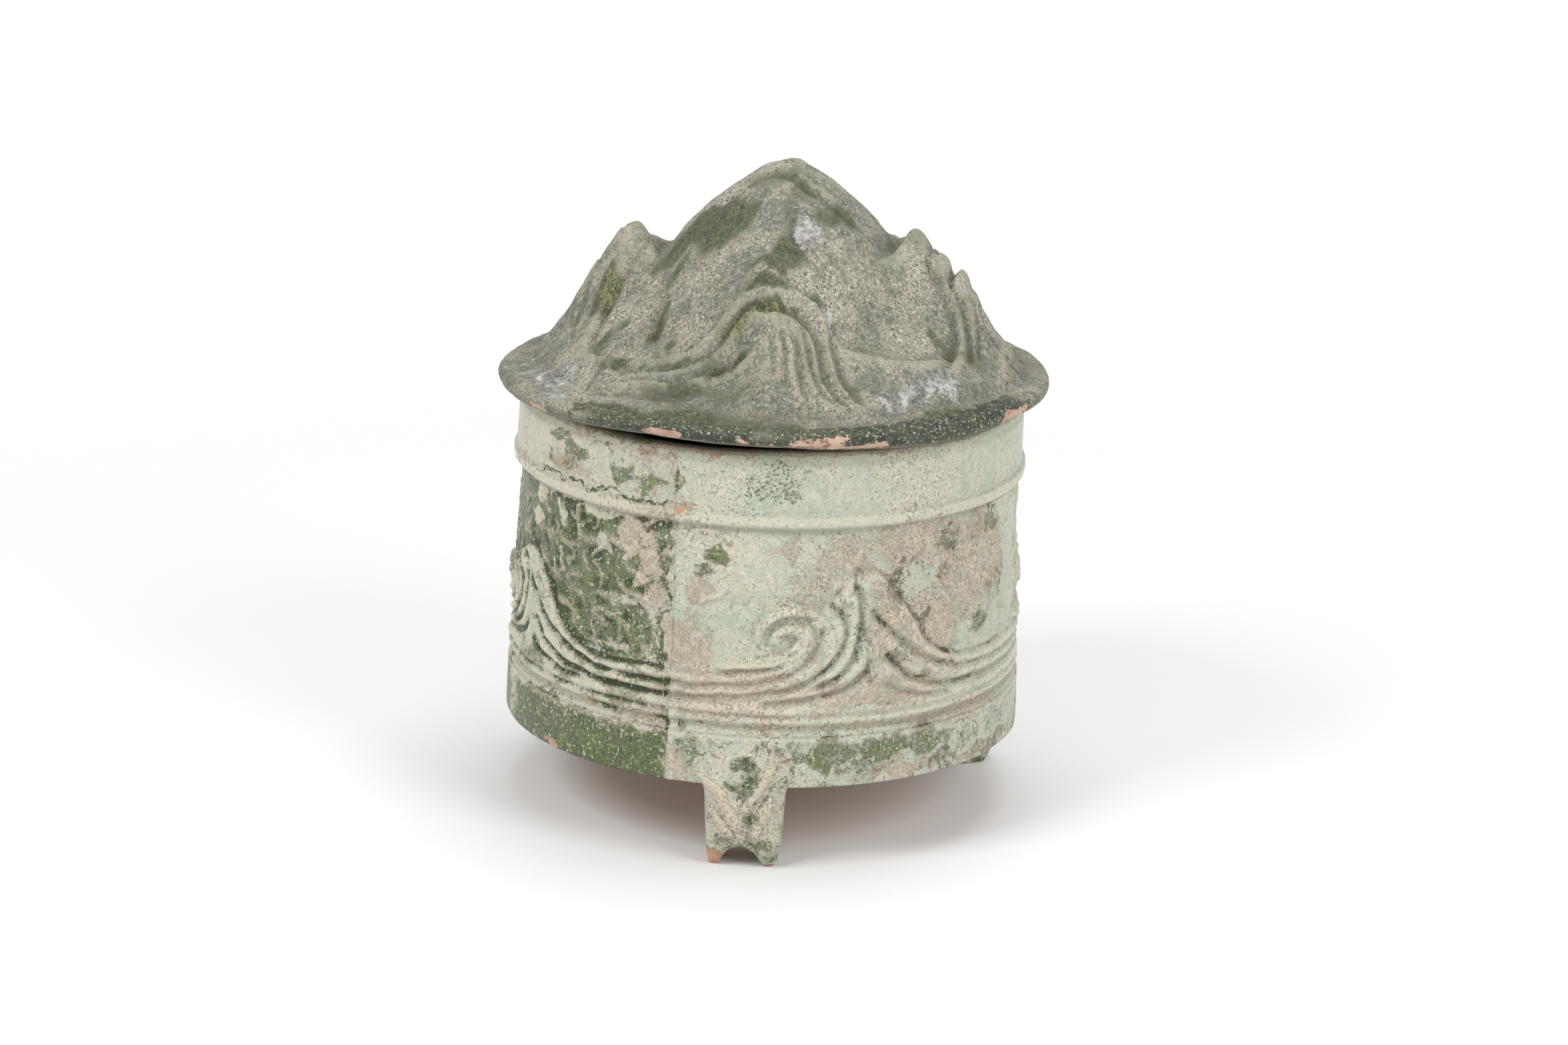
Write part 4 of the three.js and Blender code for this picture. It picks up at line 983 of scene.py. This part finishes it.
left_folds = [
    (1.2, -1.2, [(-86, 67.5), (-82, 69.5), (-78, 71.5)]),
    (1.2, -1.2, [(-85.5, 68.5), (-82, 70.5), (-78.5, 73), (-74, 75)]),
    (4.0, -1.6, [(75.5, 85), (75.5, 87)]),
]
lip_groove = (1.6, -1.0, 91)  # half width, depth, radius
side_axis = 88

# The crust's and the lip's colours: bearing, radius, half width, half depth, amount.
moss_patches = [
    (-40, 29, 26, 10, 0.85), (-66, 36, 14, 12, 0.75), (-36, 26, 14, 7, 0.95), (-22, 23, 8, 6, 0.65),
    (-76, 62, 6, 6, 0.8), (-108, 62, 6, 6, 0.8), (-50, 44, 4, 6, 0.6), (14, 27, 8, 7, 0.55),
    (60, 30, 12, 6, 0.6), (-43, 56, 3, 7, 0.65), (-33, 61, 4, 2.4, 0.5), (0, 65, 14, 3.4, 0.75),
    (-9, 75, 8, 3, 0.85), (1, 47, 10, 5, 0.7), (1, 56, 10, 3, 0.7), (-30, 94, 12, 7, 0.95),
    (-15, 90, 12, 5, 0.8), (-3, 96, 8, 6, 0.85), (8, 95, 4, 6, 0.6), (-14, 82, 16, 4, 0.55),
    (12, 36, 12, 6, 0.7), (45, 28, 14, 5, 0.7), (32, 20, 18, 5, 0.55), (0, 12, 60, 4, 0.5),
    (-5, 90, 12, 3, 0.6), (45, 92, 10, 3, 0.6), (60, 96, 6, 4, 0.6), (18, 54, 4, 4, 0.5),
    (-60, 66, 4, 10, 0.5), (64, 69, 3, 8, 0.55), (70, 80, 6, 4, 0.5), (30, 78, 5, 4, 0.5),
    (-46, 74, 8, 3, 0.5), (-20, 72, 10, 2.4, 0.5),
]
yellow_specks = [
    (0, 65.5, 13, 3, 1.0), (-76, 61, 5, 5, 0.9), (-9, 76, 9, 3, 0.6), (-25, 96, 14, 5, 0.6),
    (18, 22, 24, 6, 0.5), (30, 62, 16, 14, 0.45), (60, 50, 14, 12, 0.45), (-15, 48, 14, 8, 0.35),
    (12, 86, 26, 5, 0.4), (14, 74, 9, 8, 0.5), (-12, 66, 8, 6, 0.5), (4, 82, 8, 5, 0.5),
    (20, 45, 10, 6, 0.5),
]
ash_patches = [
    (-58, 86, 7, 9, 0.85), (-50, 94, 5, 5, 0.8), (-68, 90, 6, 8, 0.6), (44, 83, 8, 4, 0.85),
    (53, 83, 4, 6, 0.95), (36, 84, 6, 4, 0.7), (24, 33, 13, 7, 0.8), (64, 88, 7, 8, 0.55),
    (50, 72, 10, 3, 0.5), (23, 59, 2, 3, 0.9), (-12, 78, 14, 3, 0.3), (20, 88, 16, 3, 0.5),
    (-36, 88, 8, 3, 0.5), (8, 24, 14, 8, 0.4), (-20, 86, 14, 3, 0.4), (-75, 95, 10, 6, 0.5),
    (84, 94, 10, 6, 0.5),
]
lip_chips = [  # bearing, half width, how far up the lip from its lower edge, amount
    (-51, 4.2, 0.45, 1.0), (-17.2, 4.4, 0.75, 1.0), (0, 3, 0.6, 0.5), (14, 8, 0.8, 0.6), (23, 7, 0.3, 0.9),
    (65, 6, 0.8, 0.7), (4, 3, 0.9, 0.5),
    (-100, 4, 0.5, 0.9), (130, 5, 0.5, 0.9), (165, 3, 0.6, 0.9), (210, 6, 0.4, 0.9), (98, 3, 0.4, 0.8),
]
lid_columns = 640
lid_ring = 0.95
lip_turn = 1.9  # the top starts to round over this far from the edge
lip_zone = 12  # how wide the wavy edge is
edge_shape = [  # how far out from the lid's radius, and how far up the edge
    (-0.8, 0.90), (-0.2, 0.74), (0, 0.55), (-0.15, 0.38), (-0.6, 0.2), (-1.3, 0.07), (-2.4, 0),
]
edge_rise = 8
underside_radii = [95.3, 91, 86.5, seat_inner_radius]
hollow_radii = np.array([78, 74, 68, 62, 56, 50, 44, 38, 32, 26, 20, 14, 8, 4, 0])
steepest = 1.7


def lid_ground(x, y):
    """The lid's upper face over its seat, before the fold lines."""
    radius = np.hypot(x, y)
    bearing = np.degrees(np.arctan2(x, -y))
    lean = slope_right + (slope_left - slope_right) * (0.5 - 0.5 * np.tanh(x / 25))
    cone = summit_height + summit_round - np.hypot(summit_round, lean * np.hypot(x - summit_right, y))
    sagged = 1.4 * smoothstep(62, 84, np.abs(bearing)) + 1.2 * gauss(turn(-112, bearing), 26)
    flange = lid_edge - sagged + flange_fall * (lid_radius - radius)
    raised = np.zeros(len(x))
    sunk = np.zeros(len(x))
    for middle, half_width, profile in foothills:
        arc = np.radians(turn(middle, bearing)) * np.maximum(radius, 41)
        over = curve_of(profile, radius)
        raised = np.maximum(raised, np.maximum(over, 0) * np.exp(-np.abs(arc / half_width) ** 2.4))
        sunk = np.minimum(sunk, np.minimum(over, 0) * gauss(arc, 1.3 * half_width))
    hill = cone + raised + sunk
    for middle, depth, at, half_angle in valleys:
        hill = hill - depth * gauss(radius - at, valley_width) * gauss(turn(middle, bearing), half_angle)
    foot = smooth_line(mountain_foot)

    def foot_radius(b):
        return np.interp((b + 92) % 180 - 92, foot[:, 0], foot[:, 1])
    lean_of_foot = foot_radius(bearing + 0.5) - foot_radius(bearing - 0.5)
    lean_of_foot = lean_of_foot / np.radians(np.maximum(radius, 30))
    beyond = (radius - foot_radius(bearing)) / np.hypot(1, lean_of_foot)
    fade = (1 - smoothstep(84, 93, radius)) * smoothstep(44, 52, radius)
    soft = 1.8 + 3 * gauss(turn(42, bearing), 16) + 3 * gauss(turn(-138, bearing), 16)
    step = step_height * smoothstep(-soft, soft, beyond) - 1.8 / soft * gauss(beyond + 1.2, 1.6)
    hill = hill + fade * step
    for middle in nose_bearings:
        a = math.radians(middle)
        away = np.hypot(x - nose_radius * math.sin(a), y + nose_radius * math.cos(a))
        hill = hill + nose_height * (1 - smoothstep(3, 10, away))
    lip = 0.7 * gauss(radius - 96.5, 3.2)
    return np.maximum(hill, flange) + 1.2 * gauss(hill - flange, 5) + 0.014 * x + lip


def mirrored(folds, axis):
    return [(width, tall, [(2 * axis - b, r) for b, r in points]) for width, tall, points in folds]


def turned_round(folds):
    return [(width, tall, [(b + 180, r) for b, r in points]) for width, tall, points in folds]


def all_folds():
    near = side_folds + mirrored(side_folds, side_axis)
    return front_folds + left_folds + near + turned_round(front_folds) + turned_round(side_folds)


def fold(points, steep):
    """How far the fold lines raise each place, and how deep it lies in one."""
    up = np.zeros(len(points))
    down = np.zeros(len(points))
    for half_width, tall, line in all_folds():
        path = smooth_line(line, 3)
        a = np.radians(path[:, 0])
        x, y = path[:, 1] * np.sin(a), -path[:, 1] * np.cos(a)
        mark = abs(tall) * stroke(points, np.stack([x, y, lid_ground(x, y)], 1), half_width)
        if tall > 0:
            up = np.maximum(up, mark)
        else:
            down = np.maximum(down, mark)
    return fold_strength * (up - down) * steep, down


def lid_crust():
    """Soil crust over dark green glaze, with moss-green, yellow and ash patches and a bare, glossy lip."""
    shading = Shading("crusted_lid_glaze")
    place = shading.place()
    layers = ("moss", "yellow", "ash", "gloss", "chip", "raised")
    moss, yellow, ash, gloss, chip, raised = map(shading.painted, layers)
    grain = shading.noise(place, 0.7, 3, 0.8)
    fine = shading.noise(place, 2.2, 6, 0.8)
    dots = shading.noise(place, 1.1, 2, 0.65)
    middle = shading.noise(place, 9, 6, 0.7, 0.6)
    wide = shading.noise(place, 30, 4, 0.55)
    rich = (wide * 1.2 + middle).step(-0.1, 0.24)
    soil = shading.between((wide + middle).step(-0.14, 0.14), (114, 118, 104), (169, 162, 147))
    soil = shading.coat(soil, (middle * -1 + fine - wide * 0.6).step(0.04, 0.26) * 0.7, 152, 156, 150)
    soil = shading.coat(soil, (grain + fine * 0.8).step(0.02, 0.14) * 0.6, 196, 190, 174)
    soil = shading.coat(soil, (grain * -1 - fine * 0.8).step(0.03, 0.15) * 0.7, 88, 90, 72)
    soil = shading.coat(soil, (dots + rich * 0.1).step(0.14, 0.2) * 0.75, 216, 214, 204)
    soil = shading.coat(soil, (dots * -1 + rich * 0.1).step(0.15, 0.21) * 0.7, 70, 72, 56)
    # Painted shade and grime: the crust's hollows darken, standing in for the shade that falls in them as
    # well as the soil packed there.
    grime_and_shade = (raised * -1 + fine * 2 + middle * 1.2).step(0.25, 0.85)
    colour = shading.coat(soil, grime_and_shade * 0.36, 90, 91, 77)
    lit = (raised + fine * 1.2 + middle * 0.5).step(0.12, 0.66)
    colour = shading.coat(colour, lit * 0.4, 178, 175, 153)
    green = (moss + fine * 1.8 + middle * 1.8 + wide * 0.8 + grain * 0.8).step(0.3, 0.76)
    dark = shading.between((fine + grain * 0.8).step(-0.12, 0.16), (44, 54, 34), (106, 113, 80))
    colour = shading.mix(green * 0.9, colour, dark)
    pale = (ash + fine * 1.8 + middle * 2 + grain).step(0.44, 1.0)
    cool = shading.between((fine * 0.6 + middle).step(-0.2, 0.2), (158, 160, 156), (214, 213, 209))
    colour = shading.mix(pale * 0.7, colour, cool)
    specks = shading.noise(place, 0.9, 3, 0.65)
    flecks = (specks + fine * 0.8 + (yellow - 0.5) * 0.3).step(0.08, 0.2)
    colour = shading.coat(colour, flecks * 0.75, 162, 158, 104)
    black = (shading.noise(place, 1.4, 2, 0.5) + grain * 0.3).step(0.2, 0.25)
    colour = shading.coat(colour, black * 0.7, 58, 56, 46)
    shine = (gloss + fine * 1.2 + middle).step(0.42, 0.6)
    glass = shading.between((middle + grain + fine).step(-0.14, 0.2), (34, 43, 36), (92, 100, 74))
    glass = shading.coat(glass, (dots + fine * 0.7).step(0.13, 0.2), 190, 188, 160)
    colour = shading.mix(shine, colour, glass)
    bare = (chip + fine * 1.2 + middle).step(0.44, 0.54)
    terracotta = shading.between((middle + fine).step(-0.16, 0.14), (184, 142, 118), (218, 190, 168))
    shading.surface("Base Color", shading.mix(bare, colour, terracotta))
    shading.surface("Roughness", 0.8 - 0.46 * shine * (1 - bare) + grain * 0.2)
    skin = fine * 0.8 + middle * 0.7 + grain * 0.5 - bare * 0.5 + pale * 0.2 - black * 0.4
    shading.bump(skin, 1.0, 0.9)
    return shading.material


def hill_lid():
    lip_start = lid_radius - lip_turn
    radii = np.concatenate([[0], np.arange(lid_ring, lip_start - 0.5, lid_ring), [lip_start]])
    top = [(r, seat) for r in radii]
    crown = summit_height + summit_round - crown_thickness
    hollow = crown - np.hypot(summit_round, hollow_steepness * hollow_radii)
    section = top + [(lid_radius + r, seat + edge_rise * share) for r, share in edge_shape]
    section += [(r, seat) for r in underside_radii]
    section += [(r, seat + h) for r, h in zip(hollow_radii, hollow)]
    piece = spin_section("lid_of_hills", section, 0, 360, lid_columns, False)
    points = vertices_of(piece)
    station = stations_of(piece)
    x, y, z = points.T
    bearing = np.degrees(np.arctan2(x, -y))
    radius = np.hypot(x, y)
    on_top = station < len(top)
    on_edge = (station >= len(top)) & (station < len(top) + len(edge_shape))

    ground = lid_ground(x, y)
    rise = lid_ground(x * 1.002, y * 1.002) - ground
    steep = np.minimum(np.hypot(1, rise / np.maximum(radius * 0.002, 1e-3)), steepest)
    folds, hollow_mark = fold(np.stack([x, y, ground], 1), steep)
    half_width, tall, at = lip_groove
    lip_mark = gauss(radius - at - 0.8 * lumps(points, 20, 30), half_width)
    rough = 0.9 * lumps(points, 18, 31) + 0.6 * lumps(points, 6, 37) + 0.25 * lumps(points, 2.6, 39, 2)
    torn = 2.4 * lumps(points, 12, 101, 2) * gauss(turn(-76, bearing), 15)
    rough = rough + torn * smoothstep(82, 88, radius)
    lip_mark = lip_mark * (0.5 + 0.9 * lumps(points, 24, 32)) * smoothstep(-62, -50, turn(0, bearing))
    rim = np.stack([x, y, z * 0], 1) * (lip_start / np.maximum(radius, 1))[:, None]
    wave = 0.7 * lumps(rim, 15, 35) + 0.3 * lumps(rim, 5, 38, 2)
    wavy, full_wave = lid_radius - lip_zone, lid_radius - 3
    height = ground + folds + tall * lip_mark + rough * smoothstep(full_wave, wavy, radius)
    height = height + wave * smoothstep(wavy, full_wave, radius)
    height = np.minimum(height, cad_box[1][2] / mm - seat)

    gap = np.interp(turn(0, bearing), *zip(*edge_gap)) + 0.25 * lumps(points, 9, 71)
    brow = lid_ground(rim[:, 0], rim[:, 1]) + wave
    share = np.zeros(len(section))
    share[len(top):len(top) + len(edge_shape)] = [s for _, s in edge_shape]
    edge_height = gap + (brow - gap) * share[station]
    lifted = np.maximum(gap - 1.6, 0) * smoothstep(seat_inner_radius - 22, seat_inner_radius + 8, radius)
    hollow_height = z - seat + lifted
    height = np.where(on_top, height, np.where(on_edge, edge_height, hollow_height))

    up_lip = np.clip((height - gap) / np.maximum(brow - gap, 1), 0, 1)
    chip = np.zeros(len(x))
    for middle, half, tallness, amount in lip_chips:
        along = 1 - smoothstep(0.6, 1.2, np.abs(turn(middle, bearing)) / half + 0.5 * lumps(points, 5, 77))
        upward = 1 - smoothstep(tallness - 0.15, tallness + 0.2, up_lip + 0.3 * lumps(points, 5, 79))
        chip = np.maximum(chip, amount * along * upward)
    chip = chip * (on_edge | (radius > 93) & on_top)
    pull = 0.9 * smoothstep(0.4, 0.8, chip) + 0.25 * np.abs(lumps(points, 6, 83)) * on_edge
    pull = pull + 1.8 * gauss(turn(-108, bearing), 22) * smoothstep(85, lid_radius, radius)
    grow = 1 - pull / np.maximum(radius, 1)
    place(piece, np.stack([x * grow, y * grow, height + seat], 1))
    close_and_turn_out(piece)

    outer = on_top | on_edge
    column = np.rint(bearing % 360 / (360 / lid_columns)).astype(int) % lid_columns
    raised = raised_above(height, column, station) / steep
    raised = np.clip(raised / 0.8, -1, 1) * outer * smoothstep(5, 9, radius) * smoothstep(99, 94, radius)
    wander = 3 * lumps(points, 8, 61) + 1.5 * lumps(points, 3, 64, 2)
    bearing = bearing + wander * 60 / np.maximum(radius, 20)
    radius = radius + 3 * lumps(points, 8, 67) + 1.5 * lumps(points, 3, 70, 2)
    lip = smoothstep(90, 94, radius) * outer
    dark_lip = 0.34 + 0.95 * gauss(turn(42, bearing), 22) + 0.3 * gauss(turn(-14, bearing), 20)
    dark_lip = lip * (dark_lip + 0.2 * (1 - up_lip))
    moss = patched(moss_patches, bearing, radius) + 0.1 * hollow_mark
    behind = smoothstep(80, 110, np.abs(turn(0, bearing)))
    moss = moss + behind * 0.3 * (0.5 + lumps(points, 22, 91)) + 0.2 * lip
    ash = patched(ash_patches, bearing, radius) + behind * 0.25 * lumps(points, 24, 93)
    paint(piece, moss=np.where(outer, moss, 0.15), yellow=patched(yellow_specks, bearing, radius) * outer,
          ash=ash * outer, gloss=dark_lip, chip=np.where(outer, chip, 0.25 + 0.15 * lumps(points, 20, 95)),
          raised=raised)
    finish(piece, lid_crust(), "lid", "hill_lid")


hill_lid()

# The stage: a plain pale floor that turns to white away from the jar, soft studio light from both
# sides and above, at a level where colours render as they are written, and a world that only the
# camera sees as white.
floor_size = 12
floor_shadow_reach = (0.24, 0.62)
floor_grey = 0.88
aim_point = (0, 0, 0.12)
world_strength = 0.48
bpy.ops.mesh.primitive_plane_add(size=floor_size)
floor = bpy.context.object
floor.name = "floor"
paper = Shading("white_paper")
paper.surface("Base Color", (floor_grey, floor_grey, floor_grey, 1))
paper.surface("Roughness", 0.9)
spot = paper.place()
away = paper.node("ShaderNodeVectorMath", {"operation": "LENGTH"}, [spot], "Value")
rays = paper.tree.nodes.new("ShaderNodeLightPath")
seen = Value(paper, rays.outputs["Is Camera Ray"]) + Value(paper, rays.outputs["Is Glossy Ray"])
glow = paper.node("ShaderNodeEmission", {}, {"Color": (1, 1, 1, 1), "Strength": 1.0})
share = away.step(*floor_shadow_reach) * seen
lit = Value(paper, paper.shader.outputs["BSDF"])
blend = paper.node("ShaderNodeMixShader", {}, [share, lit, glow])
paper.tree.links.new(blend.socket, paper.tree.nodes["Material Output"].inputs["Surface"])
floor.data.materials.append(paper.material)


def softbox(name, place, aim, size, watts):
    bpy.ops.object.light_add(type="AREA", location=place)
    lamp = bpy.context.object
    lamp.name = name
    lamp.data.size = size
    lamp.data.energy = watts
    lamp.rotation_euler = (Vector(aim) - Vector(place)).to_track_quat("-Z", "Y").to_euler()


softbox("key", (-0.95, -0.95, 1.25), aim_point, 0.7, 14.6)
softbox("fill", (1.15, -0.85, 0.95), aim_point, 0.8, 11.6)
softbox("top", (0.1, 0.35, 1.5), (0, 0, 0.1), 1.0, 9)
world = bpy.data.worlds.new("studio")
bpy.context.scene.world = world
world.use_nodes = True
backdrop = world.node_tree.nodes["Background"]
backdrop.inputs["Color"].default_value = (1, 1, 1, 1)
world_rays = world.node_tree.nodes.new("ShaderNodeLightPath")
brighter = world.node_tree.nodes.new("ShaderNodeMath")
brighter.operation = "MULTIPLY_ADD"
brighter.inputs[1].default_value = 1 - world_strength
brighter.inputs[2].default_value = world_strength
world.node_tree.links.new(world_rays.outputs["Is Camera Ray"], brighter.inputs[0])
world.node_tree.links.new(brighter.outputs[0], backdrop.inputs["Strength"])
bpy.context.scene.view_settings.view_transform = "Standard"
